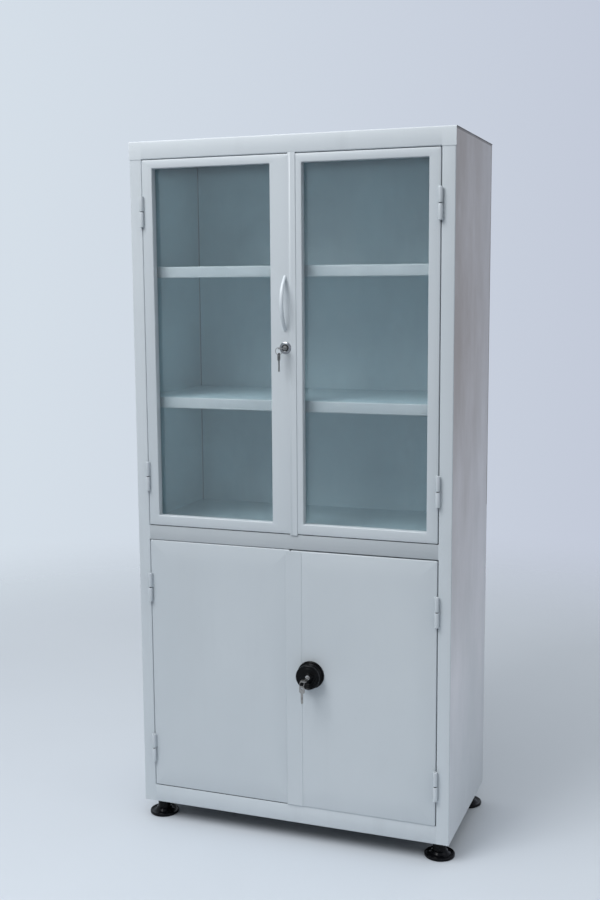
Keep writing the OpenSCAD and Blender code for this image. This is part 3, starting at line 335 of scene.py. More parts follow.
def settlePiece(name, mesh, finish, body, *stands, crease=34):
    mesh.name = name
    mesh.materials.clear()
    mesh.materials.append(finishes[finish])
    mesh.polygons.foreach_set("use_smooth", [True] * len(mesh.polygons))
    mesh.set_sharp_from_angle(angle=math.radians(crease))
    mesh.update()
    piece = placed(name, mesh)
    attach(piece, body)
    if stands:
        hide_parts(*stands)


def plainMesh(bm, name="drawn"):
    mesh = bpy.data.meshes.new(name)
    bm.to_mesh(mesh)
    bm.free()
    return mesh


# Turns drawn millimetres into a mesh in the frame
def meshFrom(bm, merge=True):
    if merge:
        bmesh.ops.remove_doubles(bm, verts=bm.verts, dist=0.0008)
    bmesh.ops.recalc_face_normals(bm, faces=bm.faces)
    for vert in bm.verts:
        vert.co = toFrame(vert.co)
    return plainMesh(bm)


def bakedMesh(obj):
    graph = bpy.context.evaluated_depsgraph_get()
    graph.update()
    mesh = bpy.data.meshes.new_from_object(obj.evaluated_get(graph), depsgraph=graph)
    bpy.data.objects.remove(obj, do_unlink=True)
    return mesh


# A CAD node's own shape, merged and with its edges broken, for plain small parts
def softPiece(name, node, finish, body, edge=0.3, steps=2):
    bm = bmesh.new()
    bm.from_mesh(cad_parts[node].data)
    bmesh.ops.remove_doubles(bm, verts=bm.verts, dist=0.000002)
    bmesh.ops.dissolve_limit(bm, angle_limit=math.radians(1), verts=bm.verts, edges=bm.edges)
    sharp = [e for e in bm.edges if len(e.link_faces) == 2 and e.calc_face_angle(0) > math.radians(28)]
    bmesh.ops.bevel(bm, geom=sharp, offset=edge / 1000, offset_type="OFFSET", segments=steps,
                    profile=0.5, affect="EDGES", clamp_overlap=True)
    bmesh.ops.remove_doubles(bm, verts=bm.verts, dist=0.00002)
    settlePiece(name, plainMesh(bm), finish, body, node)


def joined(*meshes):
    bm = bmesh.new()
    for mesh in meshes:
        bm.from_mesh(mesh)
        bpy.data.meshes.remove(mesh)
    bmesh.ops.recalc_face_normals(bm, faces=bm.faces)
    return plainMesh(bm)


# A Geometry Nodes tree with named inputs, each given by its first value
def startTree(name, **inputs):
    tree = bpy.data.node_groups.new(name, "GeometryNodeTree")
    kinds = {float: "Float", int: "Int", tuple: "Vector"}
    rows = [(label.replace("_", " "), kinds[type(value)], value) for label, value in inputs.items()]
    for label, kind, value in [("Places", "Geometry", None), *rows, ("Finish", "Material", None)]:
        socket = tree.interface.new_socket(label, in_out="INPUT", socket_type="NodeSocket" + kind)
        if value is not None:
            socket.default_value = value
    tree.interface.new_socket("Result", in_out="OUTPUT", socket_type="NodeSocketGeometry")
    return tree, addNode(tree, "NodeGroupInput").outputs


# The shape on every place, made real and given its finish
def endTree(tree, source, shape):
    spread = outOf(tree, "GeometryNodeInstanceOnPoints", Points=source["Places"], Instance=shape)
    real = outOf(tree, "GeometryNodeRealizeInstances", Geometry=spread)
    coat = outOf(tree, "GeometryNodeSetMaterial", Geometry=real, Material=source["Finish"])
    feed(tree, addNode(tree, "NodeGroupOutput").inputs[0], coat)
    return tree


def vectorOf(tree, x, y, z):
    return outOf(tree, "ShaderNodeCombineXYZ", X=x, Y=y, Z=z)


def moved(tree, shape, **values):
    return outOf(tree, "GeometryNodeTransform", Geometry=shape, **values)


def circleOf(tree, radius, steps):
    return outOf(tree, "GeometryNodeCurvePrimitiveCircle", Resolution=steps, Radius=radius)


# A rectangle with rounded corners
def barOf(tree, width, height, radius, steps):
    shape = outOf(tree, "GeometryNodeCurvePrimitiveQuadrilateral", Width=width, Height=height)
    return outOf(tree, "GeometryNodeFilletCurve", {"mode": "POLY"}, Curve=shape, Radius=radius, Count=steps)


def sweepOf(tree, path, section, **values):
    return outOf(tree, "GeometryNodeCurveToMesh", Curve=path, Profile_Curve=section, **values)


# The shape repeated upwards
def stackOf(tree, shape, count, pitch, **values):
    line = outOf(tree, "GeometryNodeMeshLine", Count=count, Offset=vectorOf(tree, 0, 0, pitch))
    return outOf(tree, "GeometryNodeInstanceOnPoints", Points=line, Instance=shape, **values)


# Runs a tree on places given in drawn millimetres and returns the plain mesh
def grown(tree, places, finish, **values):
    points = bpy.data.meshes.new("places")
    points.from_pydata([toFrame(p) for p in places], [], [])
    work = placed("work", points)
    change = work.modifiers.new("grow", "NODES")
    change.node_group = tree
    values = {"Finish": finishes[finish], **{label.replace("_", " "): value for label, value in values.items()}}
    for item in tree.interface.items_tree:
        if item.in_out == "INPUT" and item.name in values:
            change[item.identifier] = values[item.name]
    return bakedMesh(work)


# Rounds the inner corners of an open path in the plane, each with its own radius
def roundPath(points, radii, steps):
    out = [Vector(points[0])]
    for i in range(1, len(points) - 1):
        corner = Vector(points[i])
        back = (Vector(points[i - 1]) - corner).normalized()
        ahead = (Vector(points[i + 1]) - corner).normalized()
        half = back.angle(ahead) / 2
        middle = corner + (back + ahead).normalized() * (radii[i] / math.sin(half))
        first = corner + back * (radii[i] / math.tan(half)) - middle
        last = corner + ahead * (radii[i] / math.tan(half)) - middle
        start = math.atan2(first.y, first.x)
        turn = math.atan2(first.x * last.y - first.y * last.x, first.dot(last))
        for k in range(steps + 1):
            angle = start + turn * k / steps
            out.append(middle + Vector((math.cos(angle), math.sin(angle))) * radii[i])
    out.append(Vector(points[-1]))
    return out


# Cross-section of folded sheet: the drawn side of the path and the side one thickness to its left
def sheetSection(path, thick=1.0, bend=0.9, steps=4, side=1):
    points = [Vector(p) for p in path]
    runs = [(points[i + 1] - points[i]).normalized() for i in range(len(points) - 1)]
    lefts = [Vector((-r.y, r.x)) * side for r in runs]
    far = [points[0] + lefts[0] * thick]
    nearRadii, farRadii = [0], [0]
    for i in range(1, len(points) - 1):
        inward = (runs[i - 1].x * runs[i].y - runs[i - 1].y * runs[i].x) * side > 0
        far.append(points[i] + (lefts[i - 1] + lefts[i]) / (1 + lefts[i - 1].dot(lefts[i])) * thick)
        nearRadii.append(bend + thick if inward else bend)
        farRadii.append(bend if inward else bend + thick)
    far.append(points[-1] + lefts[-1] * thick)
    return roundPath(points, nearRadii, steps), roundPath(far, farRadii, steps)


# Sheet sections, each run along an axis; a section's two numbers are the other two axes in order
def foldedMesh(*runs):
    bm = bmesh.new()
    for section, span, axis in runs:
        rows = []
        for s in span:
            for side in section:
                rows.append([bm.verts.new({"x": (s, x, y), "y": (x, s, y), "z": (x, y, s)}[axis]) for x, y in side])
        nearLow, farLow, nearHigh, farHigh = rows
        last = len(nearLow) - 1
        for i in range(last):
            bm.faces.new((nearLow[i], nearLow[i + 1], nearHigh[i + 1], nearHigh[i]))
            bm.faces.new((farLow[i + 1], farLow[i], farHigh[i], farHigh[i + 1]))
            bm.faces.new((nearLow[i + 1], nearLow[i], farLow[i], farLow[i + 1]))
            bm.faces.new((nearHigh[i], nearHigh[i + 1], farHigh[i + 1], farHigh[i]))
        for i in (0, last):
            bm.faces.new((nearLow[i], farLow[i], farHigh[i], nearHigh[i]))
    return meshFrom(bm)


# A rounded rectangle of points at one depth
def rectRing(bm, box, radius, y, steps=3):
    left, right, low, high = box
    corners = [(left + radius, low + radius, 180), (right - radius, low + radius, 270),
               (right - radius, high - radius, 0), (left + radius, high - radius, 90)]
    ring = []
    for x, z, start in corners:
        for k in range(steps + 1):
            angle = math.radians(start + 90 * k / steps)
            ring.append(bm.verts.new((x + math.cos(angle) * radius, y, z + math.sin(angle) * radius)))
    return ring


# Bands of faces from ring to ring; a ring of one point is a pole, and open ends are capped
def joinRings(bm, rings, closed=False):
    for first, second in zip(rings, rings[1:] + rings[:1] if closed else rings[1:]):
        for i in range(max(len(first), len(second))):
            j = i + 1
            corners = (first[i % len(first)], first[j % len(first)],
                       second[j % len(second)], second[i % len(second)])
            bm.faces.new(list(dict.fromkeys(corners)))
    for ring in () if closed else (rings[0], rings[-1]):
        if len(ring) > 1:
            bm.faces.new(ring)


# Turned shape round an axis along Y: profile of (radius, y) from one pole or rim to the other
def turned(x, z, profile, steps=72, closed=False):
    bm = bmesh.new()
    rings = []
    for radius, y in profile:
        angles = [2 * math.pi * i / steps for i in range(steps)] if radius > 0 else [0]
        rings.append([bm.verts.new((x + math.cos(a) * radius, y, z + math.sin(a) * radius)) for a in angles])
    joinRings(bm, rings, closed)
    return bm


# Softens the corners of a turned profile
def easedProfile(profile, radius, steps=3):
    points = [Vector(p) for p in profile]
    radii = [0]
    for i in range(1, len(points) - 1):
        back, ahead = points[i - 1] - points[i], points[i + 1] - points[i]
        half = max(back.angle(ahead) / 2, 0.05)
        room = 0.45 * min(back.length, ahead.length) * math.tan(half)
        radii.append(min(radius, room) if half < math.radians(88) else 0.0005)
    return [(p.x, p.y) for p in roundPath(points, radii + [0], steps)]


# Round tube along points, with a radius at each; its ends are capped unless it closes on itself
def tubeAlong(points, radii, steps, loop=False, flat=1.0, across=Vector((1, 0, 0))):
    bm = bmesh.new()
    points = [Vector(p) for p in points]
    count = len(points)
    rings = []
    for i, point in enumerate(points):
        before = points[(i - 1) % count] if loop or i else points[i]
        after = points[(i + 1) % count] if loop or i < count - 1 else points[i]
        run = (after - before).normalized()
        side = (across - run * across.dot(run)).normalized()
        rise = run.cross(side)
        rings.append([bm.verts.new(point + side * math.cos(2 * math.pi * k / steps) * radii[i] * flat
                                   + rise * math.sin(2 * math.pi * k / steps) * radii[i])
                      for k in range(steps)])
    joinRings(bm, rings, loop)
    return bm


def blockIn(bm, *spans):
    for vert in bmesh.ops.create_cube(bm, size=1)["verts"]:
        vert.co = [low + (high - low) * (v + 0.5) for v, (low, high) in zip(vert.co, spans)]


# Cuts drawn shapes out of a mesh
def cutAway(mesh, shapes):
    work = placed("work", mesh)
    cutters = [placed("cutter", meshFrom(bm)) for bm in shapes]
    for cutter in cutters:
        change = work.modifiers.new("cut", "BOOLEAN")
        change.operation, change.solver, change.object = "DIFFERENCE", "EXACT", cutter
    result = bakedMesh(work)
    for cutter in cutters:
        bpy.data.objects.remove(cutter, do_unlink=True)
    return result


def cutRound(mesh, x, z, *holes):
    return cutAway(mesh, [turned(x, z, [(0, low), (radius, low), (radius, high), (0, high)], 48)
                          for radius, low, high in holes])


def cutBox(mesh, *spans):
    bm = bmesh.new()
    blockIn(bm, *spans)
    return cutAway(mesh, [bm])


lockAt = {"cam": (-1.5, 1370), "knob": (65, 485.5)}  # x and z
leafFace = {"active": -1.3, "trapped": -0.3}  # y of the leaf that shuts last, and of the one behind its strip
seamGap = 0.01  # between sections that only touch
carcass = {"halfWidth": 450, "depth": 450, "sheet": 1, "upright": 35, "jamb": 28, "rearLip": 16,
           "foot": 54, "top": 1920, "capLap": 1, "header": 48, "headerReturn": 42, "backInset": 20,
           "topShadow": 0.7, "headerGap": 0.3, "keeper": (23.0, 34.0, 26.2, 37.2),
           "bend": 1.6, "capBend": 2.2, "backBend": 3.2}


def makeSides():
    c = carcass
    for side, name, node in ((-1, "sideLeft", "side_panel_left"), (1, "sideRight", "side_panel_right")):
        w, inner = c["halfWidth"], c["halfWidth"] - c["upright"]
        path = [(inner, c["jamb"]), (inner, 0), (w, 0), (w, c["depth"]), (w - c["rearLip"], c["depth"])]
        section = sheetSection([(x * side, y) for x, y in path], bend=c["bend"], side=side)
        mesh = foldedMesh((section, (c["foot"], c["top"] - c["sheet"] - c["topShadow"]), "z"))
        settlePiece(name, mesh, "carcass_paint", "carcass", node)


def makeBack():
    c = carcass
    wall, back = c["halfWidth"] - c["sheet"], c["depth"] - c["backInset"]
    rear = c["depth"] - c["sheet"]
    section = sheetSection([(-wall, rear), (-wall, back), (wall, back), (wall, rear)], bend=c["backBend"])
    mesh = foldedMesh((section, (c["foot"], c["top"] - c["sheet"]), "z"))
    settlePiece("backSheet", mesh, "carcass_paint", "carcass", "back_panel")


# Header and top in one sheet; its return is cut away for the keeper of the top bolt, given as x and y
def makeCap():
    c = carcass
    w, top, low = c["halfWidth"] + c["capLap"], c["top"], c["top"] - c["header"]
    inner = c["halfWidth"] - c["upright"] - c["headerGap"]
    left, right, near, far = c["keeper"]
    lap = c["capLap"]

    def section(*start):
        return sheetSection([*start, (-lap, low), (-lap, top), (c["depth"], top)], bend=c["capBend"], side=-1)

    plain, full = section(), section((c["headerReturn"], low))
    tab = sheetSection([(far, low), (c["headerReturn"], low)])
    notch = (left + seamGap, right - seamGap)
    mesh = foldedMesh((plain, (-w, -inner), "x"), (full, (-inner + seamGap, left), "x"),
                      (section((near, low)), notch, "x"), (full, (right, inner - seamGap), "x"),
                      (plain, (inner, w), "x"), (tab, notch, "x"))
    settlePiece("topCap", mesh, "carcass_paint", "carcass", "top_cap")


shelves = {"front": 42, "back": 426, "halfWidth": 447.5, "lip": 30, "edge": 14, "bend": 1.4, "inset": 1.1,
           "tops": {"shelf_top": 1586, "shelf_middle": 1227, "shelf_low": 469}}


def makeShelves():
    s = shelves
    half = s["halfWidth"]
    for node, top in s["tops"].items():
        path = [(s["front"] + s["edge"], top - s["lip"]), (s["front"], top - s["lip"]), (s["front"], top),
                (s["back"], top), (s["back"], top - s["edge"])]
        ends = [sheetSection([(side * half, top - s["edge"]), (side * half, top - 1 - seamGap)], side=side)
                for side in (-1, 1)]
        deep = (s["front"] + s["inset"], s["back"] - s["inset"])
        mesh = foldedMesh((sheetSection(path, bend=s["bend"], side=-1), (-half, half), "x"),
                          (ends[0], deep, "y"), (ends[1], deep, "y"))
        settlePiece(node.replace("_", "") + "Sheet", mesh, "shaded_shelf_paint", "carcass", node)


# Weld filled flush and painted over where the rails meet the uprights
seamFills = {"x": (413.6, 416.6), "y": (0.05, 1.7), "spans": ((54.8, 103.4), (829.6, 868.4))}


def makeSeamFills():
    s = seamFills
    bm = bmesh.new()
    for span in s["spans"]:
        blockIn(bm, s["x"], s["y"], span)
        blockIn(bm, (-s["x"][1], -s["x"][0]), s["y"], span)
    settlePiece("seamFills", meshFrom(bm), "carcass_paint", "carcass")


makeSides()
makeBack()
makeCap()
makeShelves()
makeSeamFills()
softPiece("deckTray", "middle_deck", "shaded_rail_paint", "carcass", 0.35)
softPiece("bottomTray", "bottom_panel", "carcass_paint", "carcass", 0.35)
softPiece("shelfBrackets", "shelf_brackets", "carcass_paint", "carcass", 0.4)
softPiece("footPlates", "foot_plates", "carcass_paint", "carcass", 0.5)
softPiece("footNuts", "foot_nuts", "zinc_steel", "carcass", 0.6)
print("carcass made")


glazedDoors = {"depth": 25, "flange": 14, "faceBend": 1.2, "edgeRadius": 1.6, "openRadius": 3.0, "seat": 20,
               "seatWidth": 8, "low": 872, "high": 1869, "openLow": 898, "openHigh": 1848, "section": 200}


# A ring round a leaf: its edges drawn in by two ends, with the corner radius left over
def leafRing(bm, leaf, heights, ends, inward, y, radius):
    box = (leaf[0] + ends[0], leaf[1] - ends[1], heights[0] + inward, heights[1] - inward)
    return rectRing(bm, box, max(radius - inward, 0.25), y)


# Folded and mitred frame: back flange, edge wall, face, reveal and glass seat in one band
def glazedFrame(leaf):
    g = glazedDoors
    far = g["section"]  # the opening's edge in the drawn section
    path = [(g["flange"], g["depth"]), (0, g["depth"]), (0, 0), (far, 0), (far, g["seat"]),
            (far - g["seatWidth"], g["seat"])]
    near, off = sheetSection(path, bend=g["faceBend"], steps=3, side=-1)
    left, right = leaf["opening"]
    bm = bmesh.new()
    rings = []
    for point in near + off[::-1]:
        e, y = point.x, point.y + leaf["front"]
        if e > far / 2:
            o = e - far
            box = (left + o, right - o, g["openLow"] + o, g["openHigh"] - o)
            rings.append(rectRing(bm, box, g["openRadius"] - o, y))
        else:
            ends = leaf["flanges"] if abs(e - g["flange"]) < 0.01 else (e, e)
            rings.append(leafRing(bm, leaf["x"], (g["low"], g["high"]), ends, e, y, g["edgeRadius"]))
    joinRings(bm, rings, True)
    return meshFrom(bm)


leftLeaf = {"x": (-412, 13.5), "opening": (-384, -41.5), "flanges": (14, 41), "front": leafFace["active"],
            "lockHoles": ((9.6, -3, 1), (13.3, 20, 26))}  # radius, from y, to y
rightLeaf = {"x": (16.5, 412), "opening": (44.5, 384), "flanges": (14, 14), "front": leafFace["trapped"]}

settlePiece("leftFrame", cutRound(glazedFrame(leftLeaf), *lockAt["cam"], *leftLeaf["lockHoles"]), "door_paint",
            "upper_left_door", "upper_left_frame")
settlePiece("rightFrame", glazedFrame(rightLeaf), "door_paint", "upper_right_door", "upper_right_frame")
for side, body in (("left", "upper_left_door"), ("right", "upper_right_door")):
    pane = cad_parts[f"upper_{side}_glass"].data
    pane.materials.clear()
    pane.materials.append(finishes["window_glass"])
    softPiece(f"{side}Gasket", f"upper_{side}_gasket", "gasket_rubber", body, 0.25)
    softPiece(f"{side}Beads", f"upper_{side}_beads", "door_paint", body)


# Cover strips: the upper one is feathered into its stile, the lower one stands crisp on both sides
strips = {"thick": 2.0, "round": 0.9, "end": 0.5, "ramp": 0.55,
          "upper": {"feather": 7.0, "lip": 0.35, "undercut": 0.0, "lockHole": (16.8, -5, 1)},
          "lower": {"feather": 0.9, "lip": 0.8, "undercut": 1.6}}


def coverStrip(kind):
    s = {**strips, **strips[kind]}
    low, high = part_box(kind + "_cover_strip")
    x0, x1, z0, z1 = low.x * 1000, high.x * 1000, low.z * 1000, high.z * 1000
    back = leafFace["active"]
    face, r, end = back - s["thick"], s["round"], s["end"]
    outline = [(x0, back), (x0, back - s["lip"]), (x0 + s["feather"] * 0.5, face + s["ramp"]),
               (x0 + s["feather"], face), (x0 + s["feather"] + end, face), (x1 - r - end, face), (x1 - r, face),
               (x1 - r * 0.3, face + r * 0.3), (x1, face + r),
               (x1, face + r + 0.3), (x1 - s["undercut"], face + r + 0.4), (x1 - s["undercut"], back)]
    bm = bmesh.new()
    joinRings(bm, [[bm.verts.new((min(max(x, x0 + pull), x1 - pull), max(y, face + pull), z)) for x, y in outline]
                   for z, pull in ((z0, end), (z0 + end, 0), (z1 - end, 0), (z1, end))])
    return meshFrom(bm)


settlePiece("upperStrip", cutRound(coverStrip("upper"), *lockAt["cam"], strips["upper"]["lockHole"]),
            "door_paint", "upper_left_door", "upper_cover_strip")
print("glazed doors made")


pans = {"depth": 25, "flange": 14, "faceBend": 1.2, "edgeRadius": 1.6, "inner": 60}
lowerLeft = {"x": (-412, 4.5), "z": (107, 826), "front": leafFace["trapped"]}
lowerRight = {"x": (7.5, 412), "z": (105.5, 824.5), "front": leafFace["active"], "knobHole": (9.1, -3, 1),
              "rodSlot": 7.5, "rodsY": ((7.7, 11.7), (11.7, 15.7)), "slotDeep": 2}


# Folded pan: flat face with walls and a back flange
def doorPan(leaf):
    p = pans
    path = [(p["flange"], p["depth"]), (0, p["depth"]), (0, 0), (p["inner"], 0)]
    near, off = sheetSection(path, bend=p["faceBend"], steps=3, side=-1)
    bm = bmesh.new()
    joinRings(bm, [leafRing(bm, leaf["x"], leaf["z"], (e, e), e, y + leaf["front"], p["edgeRadius"])
                   for e, y in near[::-1] + off])
    return meshFrom(bm)


def makePans():
    r, (x, z) = lowerRight, lockAt["knob"]
    settlePiece("lowerLeftPan", doorPan(lowerLeft), "door_paint", "lower_left_door", "lower_left_pan")
    mesh = cutRound(doorPan(r), x, z, r["knobHole"])
    for deep, edge in zip(r["rodsY"], r["z"][::-1]):
        mesh = cutBox(mesh, (x - r["rodSlot"], x + r["rodSlot"]), deep, (edge - r["slotDeep"], edge + r["slotDeep"]))
    settlePiece("lowerRightPan", mesh, "door_paint", "lower_right_door", "lower_right_pan")


makePans()
softPiece("leftStiffener", "lower_left_stiffener", "door_paint", "lower_left_door", 0.35)
softPiece("rightStiffener", "lower_right_stiffener", "door_paint", "lower_right_door", 0.35)
settlePiece("lowerStrip", coverStrip("lower"), "door_paint", "lower_right_door", "lower_cover_strip")
print("lower doors made")


hinges = {"x": 413.5, "y": -7.4, "radius": 5.8, "bore": 3.05, "length": 39.9, "edge": 1.5, "wing": 9.0,
          "wingThick": 2.4, "gap": 1.1, "upper": (1008, 1733), "lower": (217, 691),
          "edgeWelds": (-16, -3, 10), "edgeIn": 0.4, "edgeFront": 0.9, "endWelds": (-18, 15), "endIn": 3.6,
          "sideBead": {"Radius": 0.0013, "Blobs": 5, "Pitch": 0.0013, "Seed": 7},
          "topWelds": (-3.2, -1.2, 0.9, 2.9), "topFront": 3.4, "topCurve": 0.35, "topHigh": 38.4,
          "topBead": {"Radius": 0.0016, "Blobs": 2, "Pitch": 0.0007, "Seed": 3}}


# Bored barrels with rounded ends, each with a flat wing to one side
def makeHingeTree():
    tree, source = startTree("hingeBarrels", Radius=0.0058, Bore=0.00305, Length=0.0407, Edge=0.001, Wing=0.009,
                             Wing_Thick=0.0024, Wing_Way=1.0, Wing_Back=0.006)
    wall = mathOf(tree, "SUBTRACT", source["Radius"], source["Bore"])
    middle = multiply(tree, mathOf(tree, "ADD", source["Radius"], source["Bore"]), 0.5)
    barrel = sweepOf(tree, circleOf(tree, middle, 40), barOf(tree, wall, source["Length"], source["Edge"], 4))
    half = multiply(tree, source["Length"], 0.5)
    run = outOf(tree, "GeometryNodeCurvePrimitiveLine", Start=vectorOf(tree, 0, 0, multiply(tree, half, -1)),
                End=vectorOf(tree, 0, 0, half))
    wing = sweepOf(tree, run, barOf(tree, source["Wing Thick"], source["Wing"], 0.0006, 3), Fill_Caps=True)
    aside = multiply(tree, multiply(tree, source["Wing"], 0.5), source["Wing Way"])
    wing = moved(tree, wing, Translation=vectorOf(tree, aside, source["Wing Back"], 0))
    both = addNode(tree, "GeometryNodeJoinGeometry")
    for part in (barrel, wing):
        feed(tree, both.inputs[0], part)
    return endTree(tree, source, both.outputs[0])


# Short rows of overlapping weld blobs, upright along a wing's edge
def makeWeldTree():
    tree, source = startTree("weldBeads", Radius=0.0012, Blobs=4, Pitch=0.0014, Seed=5)
    ball = outOf(tree, "GeometryNodeMeshIcoSphere", Subdivisions=2, Radius=source["Radius"])
    vary = addNode(tree, "FunctionNodeRandomValue", {"data_type": "FLOAT_VECTOR"}, Seed=source["Seed"])
    vary.inputs[0].default_value = (0.75, 0.45, 0.8)
    vary.inputs[1].default_value = (1.15, 0.75, 1.2)
    return endTree(tree, source, stackOf(tree, ball, source["Blobs"], source["Pitch"], Scale=vary.outputs[0]))


hingeTree, weldTree = makeHingeTree(), makeWeldTree()


def knuckles(way, side, centres, face, upper, finish):
    h = hinges
    shift = h["gap"] + h["length"] / 2
    places = [(side * h["x"], h["y"], z + (shift if upper else -shift)) for z in centres]
    barrels = grown(hingeTree, places, finish, Radius=h["radius"] / 1000, Bore=h["bore"] / 1000,
                    Length=h["length"] / 1000, Edge=h["edge"] / 1000, Wing=h["wing"] / 1000,
                    Wing_Thick=h["wingThick"] / 1000, Wing_Way=float(way),
                    Wing_Back=(face - h["wingThick"] / 2 - h["y"]) / 1000)
    edge = [(x + way * (h["wing"] - h["edgeIn"]), face - h["edgeFront"], z + at)
            for x, y, z in places for at in h["edgeWelds"]]
    ends = [(x + way * h["endIn"], face - h["wingThick"], z + at) for x, y, z in places for at in h["endWelds"]]
    return barrels, grown(weldTree, edge + ends, finish, **h["sideBead"])


def makeHinges():
    h = hinges
    every = h["upper"] + h["lower"]
    parts = knuckles(-1, -1, every, 0, False, "carcass_paint") + knuckles(1, 1, every, 0, False, "carcass_paint")
    settlePiece("frameKnuckles", joined(*parts), "carcass_paint", "carcass", "hinge_frame_knuckles")
    for level, way, side, kind in (("upper", "Left", -1, "active"), ("upper", "Right", 1, "trapped"),
                                   ("lower", "Left", -1, "trapped"), ("lower", "Right", 1, "active")):
        name, leaf, centres = level + way, f"{level}_{way.lower()}", h[level]
        mesh = joined(*knuckles(-side, side, centres, leafFace[kind], True, "door_paint"))
        settlePiece(name + "Knuckles", mesh, "door_paint", leaf + "_door", leaf + "_knuckles")
        crown = [(side * h["x"] + at, h["y"] - h["topFront"] + abs(at) * h["topCurve"], z + h["topHigh"])
                 for z in centres for at in h["topWelds"]]
        # the top welds are near white as a painted highlight
        mesh = grown(weldTree, crown, "weld_painted_highlight", **h["topBead"])
        settlePiece(name + "TopWelds", mesh, "weld_painted_highlight", leaf + "_door")


makeHinges()
# the pins are painted shade in the splits between knuckles
softPiece("hingePins", "hinge_pins", "pin_shade_steel", "carcass", 0.5)
print("hinges made")


# Low domed heads with a cross recess, set out on the beads that hold the panes
screwHeads = {"radius": 3.0, "height": 1.5, "slot": 0.9, "inset": 12, "endInset": 30, "topInset": 9, "rows": 6,
              "beadBack": {"left": 24.9, "right": 25.9},
              "boltClear": (60, 1000, 1740)}  # none where the bolts' housings are: to x, from z, to z


def makeHeadTree():
    tree, source = startTree("panHeads", Radius=0.003, Height=0.0015, Slot=0.0009, Turn=(0, 0, 0))
    dome = outOf(tree, "GeometryNodeMeshUVSphere", Segments=20, Rings=12, Radius=source["Radius"])
    flat = mathOf(tree, "DIVIDE", source["Height"], source["Radius"])
    long = multiply(tree, source["Radius"], 1.15)
    cut = addNode(tree, "GeometryNodeMeshBoolean", {"operation": "DIFFERENCE"},
                  Mesh_1=moved(tree, dome, Scale=vectorOf(tree, 1, 1, flat)))
    for wide, deep in ((long, source["Slot"]), (source["Slot"], long)):
        bar = outOf(tree, "GeometryNodeMeshCube", Size=vectorOf(tree, wide, deep, source["Height"]))
        bar = moved(tree, bar, Translation=vectorOf(tree, 0, 0, source["Height"]))
        feed(tree, cut.inputs["Mesh 2"], bar)
    return endTree(tree, source, moved(tree, cut.outputs[0], Rotation=source["Turn"]))


headTree = makeHeadTree()


def makeBeadScrews():
    s = screwHeads
    toX, fromZ, toZ = s["boltClear"]
    for name, y in s["beadBack"].items():
        low, high = (v * 1000 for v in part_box(f"upper_{name}_beads"))
        first, last = low.x + s["inset"], high.x - s["inset"]
        run = high.z - low.z - 2 * s["endInset"]
        places = [(x, y, low.z + s["endInset"] + k * run / (s["rows"] - 1))
                  for x in (first, last) for k in range(s["rows"])]
        places += [(first + (last - first) * k / 3, y, z)
                   for k in (1, 2) for z in (low.z + s["inset"], high.z - s["topInset"])]
        places = [p for p in places if not (name == "right" and p[0] < toX and not fromZ < p[2] < toZ)]
        mesh = grown(headTree, places, "zinc_steel", Radius=s["radius"] / 1000, Height=s["height"] / 1000,
                     Slot=s["slot"] / 1000, Turn=(-math.pi / 2, 0, 0))
        settlePiece(name + "BeadScrews", mesh, "zinc_steel", f"upper_{name}_door")


makeBeadScrews()
print("bead screws made")


# Shallow round dents' rims where the sheets are spot welded
spots = {"radius": 2.6, "backY": 430, "across": range(-400, 401, 100), "seams": (848, 462, 1220, 1579, 62, 1911),
         "bracketsY": (80, 386), "bracketsZ": (460, 1218, 1577)}


def makeSpotTree():
    tree, source = startTree("spotWelds", Radius=0.003, Height=0.0003, Turn=(0, 0, 0))
    rim = sweepOf(tree, circleOf(tree, source["Radius"], 24), circleOf(tree, source["Height"], 8))
    return endTree(tree, source, moved(tree, rim, Rotation=source["Turn"]))


spotTree = makeSpotTree()


def makeSpotWelds():
    s = spots
    back = [(x, s["backY"], z) for z in s["seams"] for x in s["across"]]
    sides = [(x, y, z) for x in (-carcass["halfWidth"], carcass["halfWidth"])
             for y in s["bracketsY"] for z in s["bracketsZ"]]
    meshes = [grown(spotTree, places, "carcass_paint", Radius=s["radius"] / 1000, Height=height, Turn=turn)
              for places, height, turn in ((back, 0.0003, (math.pi / 2, 0, 0)), (sides, 0.0002, (0, math.pi / 2, 0)))]
    settlePiece("spotWelds", joined(*meshes), "carcass_paint", "carcass")


makeSpotWelds()
print("spot welds made")


# Bow handle: one shallow arc from face to face, flattened in the middle and thin at both ends
handle = {"z": 1487, "half": 69.4, "reach": 34.2, "wide": 5.2, "thick": 0.80, "tip": 3.3, "foot": 4.6,
          "flat": 1.09, "sink": 0.2, "steps": 24}


def makeHandle():
    h = handle
    rise = h["reach"] - h["wide"] * h["thick"]
    radius = (h["half"] ** 2 + rise ** 2) / (2 * rise)
    sweep = math.asin(h["half"] / radius)
    points, radii = [], []
    for k in range(2 * h["steps"] + 1):
        t = k / h["steps"] - 1
        angle = t * sweep
        points.append((lockAt["cam"][0], leafFace["active"] - rise + radius - radius * math.cos(angle) + h["sink"],
                       h["z"] + radius * math.sin(angle)))
        width = h["tip"] + (h["wide"] - h["tip"]) * (1 - abs(t) ** 2.2) ** 0.8
        radii.append(width + (h["foot"] - h["tip"]) * max(0, abs(t) * 14 - 13) ** 1.5)
    mesh = meshFrom(tubeAlong(points, radii, 24, flat=h["flat"]))
    settlePiece("bowHandle", mesh, "lit_handle_paint", "upper_left_door", "bow_handle", crease=60)


makeHandle()
softPiece("handleScrews", "handle_screws", "zinc_steel", "upper_left_door", 0.5)

camLock = {"bezel": 16.5, "proud": 4.0, "barrel": 9.5, "back": 25.9, "plug": 6.5, "well": 8.5}


